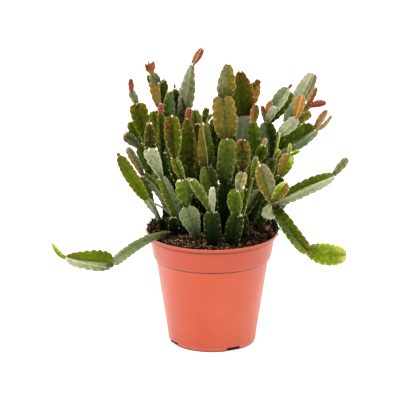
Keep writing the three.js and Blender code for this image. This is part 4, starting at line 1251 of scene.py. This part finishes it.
def makeStems():
    sizes = {
        "Long steps": stem["longSteps"], "Short steps": stem["shortSteps"], "Ring": stem["ring"],
        "Bunching": stem["bunching"], "Waves": stem["waves"], "Wave": stem["wave"] * mm,
        "End round": stem["endRound"] * mm, "Wool": stem["wool"] * mm, "Bristles": stem["bristles"],
        "Bristle": stem["bristleLength"] * mm, "Tip puffs": stem["tipPuffs"], "Tip hairs": stem["tipHairs"],
        "Seed": stem["seed"],
    }
    tree = stemTree(sizes)
    faces = 0
    for index, (name, root, segments) in enumerate(stems):
        rows = segmentRows(root, segments, index)
        points = stemPoints(name + "_points", rows)
        piece = grown(name + "_grown", points, tree, {**sizes, "Seed": stem["seed"] + index})
        for key in rows[0]:  # of these the materials read only the phase
            if key != "phase":
                piece.data.attributes.remove(piece.data.attributes[key])
        piece.data.shade_smooth()
        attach(piece, body)
        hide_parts(name)
        faces += sum(len(p.vertices) - 2 for p in piece.data.polygons)
    print("stems made:", len(stems), "triangles:", faces)


# Floor, light and camera

studio = {  # in metres, the lens and the sensor in mm
    "floorSize": 12, "floor": "#fdfdfd", "floorFinish": (0.9, 0.1), "floorGlow": 0.25, "world": 0.32,
    "lens": 193.5, "sensor": 36, "clipEnd": 50, "aim": (0, 0, 0.13),
    "lights": {  # place, size and power
        "leftLight": ((-1.1, -1.5, 2.2), 0.7, 34),
        "rightLight": ((1.7, -0.7, 0.9), 1.2, 7),
        "topLight": ((0, 0.6, 3.6), 4.5, 170),
    },
}


def makeFloor():
    half = studio["floorSize"] / 2
    corners = [(-half, -half, 0), (half, -half, 0), (half, half, 0), (-half, half, 0)]
    mesh = bpy.data.meshes.new("studio_floor")
    mesh.from_pydata(corners, [], [(0, 1, 2, 3)])
    floor = bpy.data.objects.new("studio_floor", mesh)
    scene.collection.objects.link(floor)
    material, tree, shader = newMaterial("paleFloor", *studio["floorFinish"])
    shader.inputs["Base Color"].default_value = colour(studio["floor"])
    shader.inputs["Emission Color"].default_value = colour(studio["floor"])
    shader.inputs["Emission Strength"].default_value = studio["floorGlow"]
    mesh.materials.append(material)


def makeLights():
    world = bpy.data.worlds.new("studio")
    world.use_nodes = True
    background = world.node_tree.nodes["Background"]
    background.inputs["Color"].default_value = (1, 1, 1, 1)
    background.inputs["Strength"].default_value = studio["world"]
    scene.world = world
    for name, (position, size, power) in studio["lights"].items():
        light = bpy.data.lights.new(name, "AREA")
        light.size, light.energy = size, power
        lamp = bpy.data.objects.new(name, light)
        lamp.location = position
        lamp.rotation_euler = (Vector(studio["aim"]) - Vector(position)).to_track_quat("-Z", "Y").to_euler()
        scene.collection.objects.link(lamp)


def makeCamera():
    camera = bpy.data.cameras.new("camera")
    camera.sensor_width, camera.lens, camera.clip_end = studio["sensor"], studio["lens"], studio["clipEnd"]
    holder = bpy.data.objects.new("camera", camera)
    holder.location = eye * mm
    holder.rotation_euler = (math.pi / 2 - sight["slope"], 0, 0)
    scene.collection.objects.link(holder)
    scene.camera = holder
    scene.view_settings.view_transform = "Standard"
    scene.view_settings.look = "Medium High Contrast"


makePot()
print("pot made")
makeSoil()
print("soil made")
makeStems()
makeFloor()
makeLights()
makeCamera()
print("studio made")
